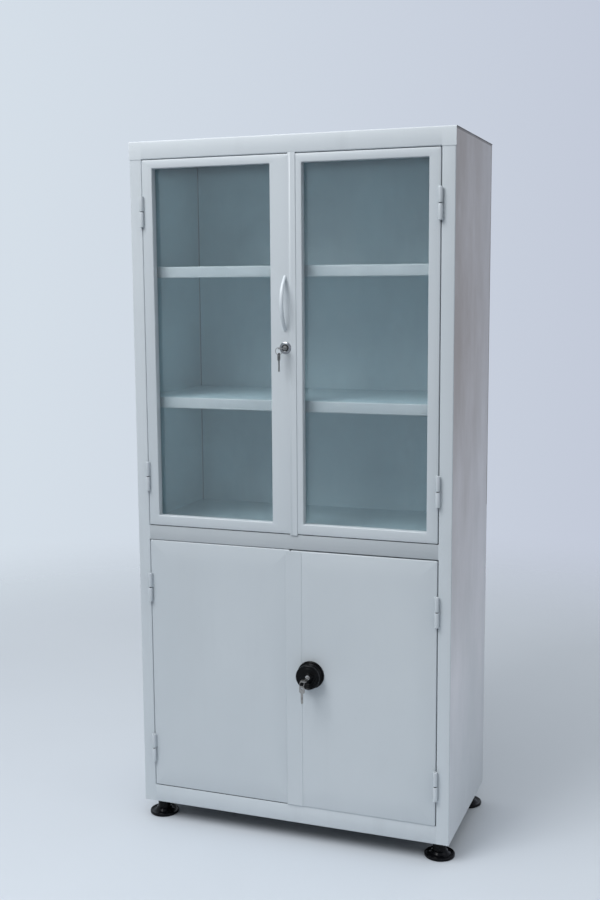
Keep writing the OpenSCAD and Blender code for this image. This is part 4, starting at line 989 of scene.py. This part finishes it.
# A rolled ring round a sunk well, and the barrel behind it; a black ring in the well is painted shade
def makeCamLock():
    bezel, proud, barrel, back, plug, well = camLock.values()
    f = leafFace["active"]
    p = f - proud
    profile = [(plug + 0.05, back), (barrel, back), (barrel, f), (bezel, f), (bezel, f - 0.9),
               (bezel - 0.5, f - 1.5), (bezel - 1.9, f - 1.9), (bezel - 2.6, f - 2.9), (bezel - 3.9, p + 0.15),
               (bezel - 5.2, p), (well + 1.1, p + 0.3), (well + 0.3, p + 0.8), (well, p + 1.4),
               (plug + 0.05, p + 1.5)]
    mesh = meshFrom(turned(*lockAt["cam"], easedProfile(profile, 0.5), closed=True))
    settlePiece("camBarrel", mesh, "lock_chrome", "upper_left_door", "cam_barrel")
    # a black ring as painted shade in the sunk well
    ring = [(plug + 0.15, p + 1.45), (plug + 0.15, p + 0.7), (well - 0.15, p + 0.7), (well - 0.15, p + 1.45)]
    mesh = meshFrom(turned(*lockAt["cam"], ring, 48, closed=True))
    settlePiece("camWellShadeRing", mesh, "black_plastic", "upper_left_door")


makeCamLock()
for name, node, finish, body, edge, steps in (
        ("camNut", "cam_nut", "zinc_steel", "upper_left_door", 0.4, 2),
        ("camPlug", "cam_plug", "key_steel", "cam_lock_plug", 0.35, 3),
        ("camTongue", "cam_tongue", "zinc_steel", "cam_lock_plug", 0.35, 2),
        ("tongueScrew", "tongue_screw", "zinc_steel", "cam_lock_plug", 0.8, 3),
        ("boltHousings", "bolt_housings", "zinc_steel", "upper_right_door", 0.4, 2),
        ("boltTop", "bolt_rod_top", "zinc_steel", "bolt_top", 0.6, 3),
        ("boltBottom", "bolt_rod_bottom", "zinc_steel", "bolt_bottom", 0.6, 3)):
    softPiece(name, node, finish, body, edge, steps)
print("handle, cam lock and bolts made")


keys = {"bow": 11, "bowWide": 17.5, "thick": 2.2, "length": 28, "blade": 7, "hole": 3, "holeOff": 4,
        "edge": 0.35, "cuts": ((8, 1.3), (11, 0.7), (14, 1.7), (17, 1.0), (20, 1.5)), "chord": 13.75,
        "ring": 9.5, "wire": 0.55, "overlap": 0.15, "wireGap": 0.5, "hang": 2.0, "steps": 72,
        "locks": {"cam": (-28.8, 180, "key_steel"), "knob": (-57.6, 250, "lit_key_steel")}}  # bow's y, turn of the ring


def arcOf(radius, start, end, steps):
    angles = [start + (end - start) * n / steps for n in range(steps + 1)]
    return [(math.sin(a) * radius, math.cos(a) * radius) for a in angles]


# Flat key outline as a filled curve with its hole, bevelled; bow at the origin, blade along +Y
def keyMesh():
    k = keys
    side = k["bowWide"] / 2 - k["edge"]
    bow, half = k["bow"] - k["edge"], k["blade"] / 2 - k["edge"]
    tip = k["bow"] + k["length"] - k["edge"]
    low, shoulder = math.asin(side / bow), math.asin(half / bow)
    foot = [(x, -y) for x, y in arcOf(bow, -low, low, 8)]
    outline = foot + arcOf(bow, low, shoulder, 8) + [(half, k["bow"] + 6)]
    for at, deep in k["cuts"]:
        outline += [(half - (deep if abs(step) < 1 else 0), k["bow"] + at + step) for step in (-1.2, -0.3, 0.3, 1.2)]
    outline += [(half, tip - half * 1.2), (half * 0.45, tip - 0.3), (0, tip), (-half * 0.45, tip - 0.3),
                (-half, tip - half * 1.2)] + arcOf(bow, -shoulder, -low, 8)
    inner = k["hole"] + k["edge"]
    hole = [(math.cos(2 * math.pi * n / 24) * inner, math.sin(2 * math.pi * n / 24) * inner - k["holeOff"])
            for n in range(24)]
    curve = bpy.data.curves.new("keyOutline", "CURVE")
    curve.dimensions, curve.fill_mode = "2D", "BOTH"
    curve.extrude, curve.bevel_depth, curve.bevel_resolution = k["thick"] / 2 - k["edge"], k["edge"], 1
    for loop in (outline, hole):
        spline = curve.splines.new("POLY")
        spline.points.add(len(loop) - 1)
        for point, (x, y) in zip(spline.points, loop):
            point.co = (x, y, 0, 1)
        spline.use_cyclic_u = True
    bm = bmesh.new()
    mesh = bakedMesh(placed("work", curve))
    bm.from_mesh(mesh)
    bpy.data.meshes.remove(mesh)
    bmesh.ops.remove_doubles(bm, verts=bm.verts, dist=0.0005)
    return bm


# Split ring: two turns of wire in the ring's own plane
def ringMesh(centre, turn):
    k = keys
    across = Vector((math.cos(math.radians(turn)), math.sin(math.radians(turn)), 0))
    aside = Vector((-across.y, across.x, 0))
    points = []
    for n in range(k["steps"] * 2):
        angle = 2 * math.pi * n / k["steps"]
        wave = math.sin(math.pi * n / k["steps"]) ** 2 * (1 if n < k["steps"] else -1)
        radius = k["ring"] + k["overlap"] * math.cos(math.pi * n / k["steps"])
        points.append(Vector(centre) + across * math.cos(angle) * radius
                      + Vector((0, 0, 1)) * math.sin(angle) * radius + aside * wave * k["wireGap"])
    return meshFrom(tubeAlong(points, [k["wire"]] * len(points), 10, loop=True, across=aside), merge=False)


# The key in a lock, its ring and the spare key that hangs on it
def makeKeys(lock, bowY, turn, finish):
    k = keys
    x, z = lockAt[lock]
    bm = keyMesh()
    for vert in bm.verts:
        vert.co += Vector((x, bowY, z))
    settlePiece(lock + "Key", meshFrom(bm), finish, lock + "_lock_plug", lock + "_key")
    drop = math.sqrt(k["ring"] ** 2 - (k["chord"] / 2) ** 2)
    out = Matrix.Rotation(math.radians(turn), 4, "Z")
    hole = Vector((x, bowY - k["holeOff"], z))
    centre = out @ Vector((k["chord"] / 2, 0, -drop)) + hole
    settlePiece(lock + "KeyRing", ringMesh(centre, turn), finish, lock + "_ring", lock + "_key_ring", crease=80)
    bm = keyMesh()
    spot = Vector((k["chord"] / 2, 0, -drop - k["ring"] - k["hang"] - k["holeOff"]))
    for vert in bm.verts:
        vert.co = out @ (Vector((-vert.co.z, vert.co.x, -vert.co.y)) + spot) + hole
    settlePiece(lock + "SpareKey", meshFrom(bm), finish, lock + "_hanging_key", lock + "_spare_key")


for name, place in keys["locks"].items():
    makeKeys(name, *place)
print("keys made")


knob = {"rose": 38, "roseThick": 6, "gap": 0.3, "radius": 33.5, "plug": 6.55, "spindle": 5.05, "boss": 9.0,
        "bossBack": 1.7, "ribs": 36, "ribsBack": 8.6, "rib": 1.2, "ribLong": 9.2, "waist": 2.4,
        "stripPlay": 0.3, "stripFace": -3.4}


# Grip ribs round the knob's waist, upright along its axis
def makeRibTree():
    tree, source = startTree("knobRibs", Circle=0.03, Ribs=36, Rib=0.0013, Length=0.008, Turn=(0, 0, 0))
    ring = outOf(tree, "GeometryNodeMeshCircle", Vertices=source["Ribs"], Radius=source["Circle"])
    run = outOf(tree, "GeometryNodeCurvePrimitiveLine", End=vectorOf(tree, 0, 0, source["Length"]))
    rib = sweepOf(tree, run, circleOf(tree, source["Rib"], 10), Fill_Caps=True)
    around = outOf(tree, "GeometryNodeInstanceOnPoints", Points=ring, Instance=rib)
    return endTree(tree, source, moved(tree, around, Rotation=source["Turn"]))


ribTree = makeRibTree()


def makeKnob():
    k, (x, z) = knob, lockAt["knob"]
    rose, boss, spindle, plug, r = (k[key] for key in ("rose", "boss", "spindle", "plug", "radius"))
    face = leafFace["active"]
    front = face - k["roseThick"]
    back = front - k["gap"]
    profile = [(spindle, k["bossBack"]), (boss, k["bossBack"]), (boss, face), (rose, face), (rose, front + 2.6),
               (rose - 2.4, front), (rose - 3.6, front), (rose - 4.2, front + 0.6), (rose - 6.5, front + 0.6),
               (rose - 7.2, front), (spindle, front)]
    mesh = meshFrom(turned(x, z, easedProfile(profile, 0.7), 96, closed=True))
    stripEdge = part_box("lower_cover_strip")[1].x * 1000 + k["stripPlay"]
    mesh = cutBox(mesh, (x - rose - 1, stripEdge), (k["stripFace"], 0), (z - rose - 1, z + rose + 1))
    settlePiece("knobRose", mesh, "black_plastic", "lower_right_door", "knob_rose")
    grip = [(0.0, r - 1.5), (2.0, r + 0.9), (5.0, r + 0.9), (8.5, r - 2.2), (18.0, r - 2.2), (20.6, r), (23.4, r),
            (24.9, r - 1.6), (24.9, r - 3.6), (23.7, r - 4.8), (23.5, r - 7.6), (24.0, r - 8.2), (24.0, r - 9.4),
            (23.4, r - 10.0), (23.4, r - 13.4), (22.5, r - 14.6), (22.5, plug + 4.6), (23.9, plug + 3.4),
            (24.0, plug + 0.7), (23.6, plug), (7.6, plug), (7.6, spindle), (0.0, spindle)]
    mesh = meshFrom(turned(x, z, easedProfile([(radius, back - at) for at, radius in grip], 0.6), 96, closed=True))
    ribs = grown(ribTree, [(x, back - k["ribsBack"], z)], "black_plastic", Circle=(r - k["waist"]) / 1000,
                 Ribs=k["ribs"], Rib=k["rib"] / 1000, Length=k["ribLong"] / 1000, Turn=(math.pi / 2, 0, 0))
    settlePiece("lockKnob", joined(mesh, ribs), "black_plastic", "knob", "lock_knob")


makeKnob()
for name, node, finish, body, edge, steps in (
        ("knobPlug", "knob_plug", "plug_chrome", "knob_lock_plug", 0.4, 3),
        ("rodGuides", "rod_guides", "zinc_steel", "lower_right_door", 0.4, 2),
        ("rodCam", "rod_cam", "zinc_steel", "knob", 0.5, 2),
        ("rodTop", "lock_rod_top", "zinc_steel", "rod_up", 0.4, 2),
        ("rodBottom", "lock_rod_bottom", "zinc_steel", "rod_down", 0.4, 2)):
    softPiece(name, node, finish, body, edge, steps)
print("knob and rods made")


feet = {"x": 414, "y": (50, 400), "radius": 41.5, "rim": 9, "neck": 18, "neckTop": 53.5, "stem": 6,
        "stemTop": 79, "pitch": 1.75, "crest": 0.45, "clear": 2}


# Fine rings along a stem, in place of its thread
def makeThreadTree():
    tree, source = startTree("stemThread", Radius=0.0058, Crest=0.0005, Turns=12, Pitch=0.00175)
    ring = sweepOf(tree, circleOf(tree, source["Radius"], 28), circleOf(tree, source["Crest"], 6))
    return endTree(tree, source, stackOf(tree, ring, source["Turns"], source["Pitch"]))


threadTree = makeThreadTree()


# Wide pad with a raised rim, ringed dish, low cone and neck, turned about its upright axis
def makeFeet():
    f = feet
    r, rim, neck, top, stem, end = (f[key] for key in ("radius", "rim", "neck", "neckTop", "stem", "stemTop"))
    profile = [(0, 0), (r - 2.2, 0), (r, 2), (r, rim - 2.4), (r - 1.0, rim - 0.5), (r - 2.6, rim),
               (r - 4.4, rim - 0.4), (r - 6.4, rim - 2.2), (r - 8.0, rim - 2.4), (r - 8.6, rim - 1.7),
               (r - 10.4, rim - 1.6), (r - 11.2, rim - 2.0), (neck + 7.5, rim + 1.6), (neck + 4, rim + 7),
               (neck + 0.6, rim + 9.6), (neck, rim + 11), (neck, top - 1.5), (neck - 1.5, top),
               (stem - 0.4, top), (stem - 0.4, end - 1.4), (stem - 1.6, end), (0, end)]
    turns = int((end - top - 2 * f["clear"]) / f["pitch"])
    places = [(depth, side) for depth in ("front", "rear") for side in ("left", "right")]
    for number, (depth, side) in enumerate(places, 1):
        x = f["x"] * (1 if side == "right" else -1)
        y = f["y"][depth == "rear"]
        bm = turned(0, 0, easedProfile(profile, 0.8), 96)
        for vert in bm.verts:  # the turned axis is laid upright
            vert.co = Vector((x + vert.co.x, y + vert.co.z, vert.co.y))
        thread = grown(threadTree, [(x, y, top + f["clear"])], "foot_plastic", Radius=(stem - 0.5) / 1000,
                       Crest=f["crest"] / 1000, Turns=turns, Pitch=f["pitch"] / 1000)
        settlePiece(f"foot{depth.title()}{side.title()}", joined(meshFrom(bm), thread), "foot_plastic",
                    f"foot_{number}", f"foot_{depth}_{side}")


makeFeet()
print("feet made")


studio = {"backLeft": (0.665, 0.735, 0.810), "shadedBackRight": (0.540, 0.585, 0.690), "sky": (0.95, 0.975, 1.0, 1),
          "skyLow": 0.0, "skyHigh": 0.84, "floorTone": (0.600, 0.648, 0.702), "fadeFrom": 1.7, "fadeTo": 4.2,
          "floorHalf": 9, "cloud": ((1, 1, 1), 1.3, 4, 0.5), "paper": ((1, 1, 1), 220, 2), "paperDepth": 0.0001}


def makeFloor():
    bm = bmesh.new()
    bmesh.ops.create_grid(bm, x_segments=8, y_segments=8, size=studio["floorHalf"])
    floor = placed("studioFloor", plainMesh(bm, "studioFloor"))
    material, tree, shader, place = startFinish("studioFloorPaper", Roughness=0.75)
    tone = studio["floorTone"]
    cloud = remap(tree, grainOf(tree, place, *studio["cloud"]), 0.35, 0.65, 0, 1)
    feedAll(tree, shader, Base_Color=blendTones(tree, cloud, [v * 0.98 for v in tone], tone),
            Normal=bumpOf(tree, grainOf(tree, place, *studio["paper"]), studio["paperDepth"]))
    reach = addNode(tree, "ShaderNodeVectorMath", {"operation": "LENGTH"})
    feed(tree, reach.inputs[0], place)
    fade = remap(tree, reach.outputs["Value"], studio["fadeFrom"], studio["fadeTo"], 0, 1,
                 interpolation_type="SMOOTHSTEP")
    showAs(tree, mixShaders(tree, fade, shader.outputs[0], outOf(tree, "ShaderNodeBsdfTransparent")))
    floor.data.materials.append(material)


# A backdrop where the camera, gloss or glass looks, painted darker towards the right as painted shade, and a soft sky
# for light
def makeWorld():
    world = bpy.data.worlds.new("studioAir")
    bpy.context.scene.world = world
    world.use_nodes = True
    tree = world.node_tree
    tree.nodes.clear()
    way = axesOf(tree, addNode(tree, "ShaderNodeTexCoord").outputs["Generated"])
    backdrop = blendTones(tree, remap(tree, way["X"], -0.55, -0.08, 0, 1), studio["backLeft"], studio["shadedBackRight"])
    seen = outOf(tree, "ShaderNodeBackground", Color=backdrop, Strength=1.0)
    lit = outOf(tree, "ShaderNodeBackground", Color=studio["sky"],
                Strength=remap(tree, way["Z"], 0.1, 0.7, studio["skyLow"], studio["skyHigh"]))
    ray = addNode(tree, "ShaderNodeLightPath").outputs
    looked = mathOf(tree, "MAXIMUM", ray["Is Camera Ray"], ray["Is Glossy Ray"])
    looked = mathOf(tree, "MAXIMUM", looked, ray["Is Transmission Ray"])
    addNode(tree, "ShaderNodeOutputWorld", Surface=mixShaders(tree, looked, lit, seen))


lamps = {
    "keySoftbox": {"at": (-1.4, -3.0, 3.9), "to": (0.0, 0.0, 1.1), "size": 2.0, "watts": 84,
                   "tone": (0.985, 0.99, 1.0)},
    "sideFill": {"at": (3.4, -0.9, 1.7), "to": (0.45, 0.2, 0.30), "size": 2.4, "watts": 9.8,
                 "tone": (0.96, 0.97, 1.0)},
    "topFill": {"at": (-0.7, -1.5, 4.3), "to": (0.0, -0.1, 1.0), "size": 2.2, "watts": 42,
                "tone": (0.97, 0.98, 1.0)}}


def makeLamps():
    for name, lamp in lamps.items():
        data = bpy.data.lights.new(name, "AREA")
        data.shape, data.size, data.energy, data.color = "SQUARE", lamp["size"], lamp["watts"], lamp["tone"]
        obj = placed(name, data)
        obj.location = lamp["at"]
        obj.rotation_euler = (Vector(lamp["to"]) - Vector(lamp["at"])).to_track_quat("-Z", "Y").to_euler()


# Turns in degrees, place in metres from the uprights' face, lens and sensor in millimetres
shot = {"yaw": 20.199, "pitch": 7.845, "roll": -0.383, "at": (1.1244, -2.9561, 1.5341), "lens": 47.87,
        "sensorHigh": 36, "sensorWide": 24}


def makeCamera():
    yaw, pitch, roll = (math.radians(shot[k]) for k in ("yaw", "pitch", "roll"))
    ahead = Vector((-math.sin(yaw) * math.cos(pitch), math.cos(yaw) * math.cos(pitch), -math.sin(pitch)))
    right = Vector((math.cos(yaw), math.sin(yaw), 0))
    up = right.cross(ahead)
    acrossView = right * math.cos(roll) + up * math.sin(roll)
    upView = up * math.cos(roll) - right * math.sin(roll)
    data = bpy.data.cameras.new("shotCamera")
    data.sensor_fit, data.sensor_height, data.sensor_width = "VERTICAL", shot["sensorHigh"], shot["sensorWide"]
    data.lens, data.clip_start, data.clip_end = shot["lens"], 0.05, 60
    camera = placed("shotCamera", data)
    turn = Matrix((acrossView, upView, -ahead)).transposed().to_4x4()
    camera.matrix_world = Matrix.Translation(Vector(shot["at"]) + Vector((0, frontShift, 0))) @ turn
    bpy.context.scene.camera = camera


makeFloor()
makeWorld()
makeLamps()
makeCamera()
bpy.context.scene.view_settings.view_transform = "Standard"
print("studio made")
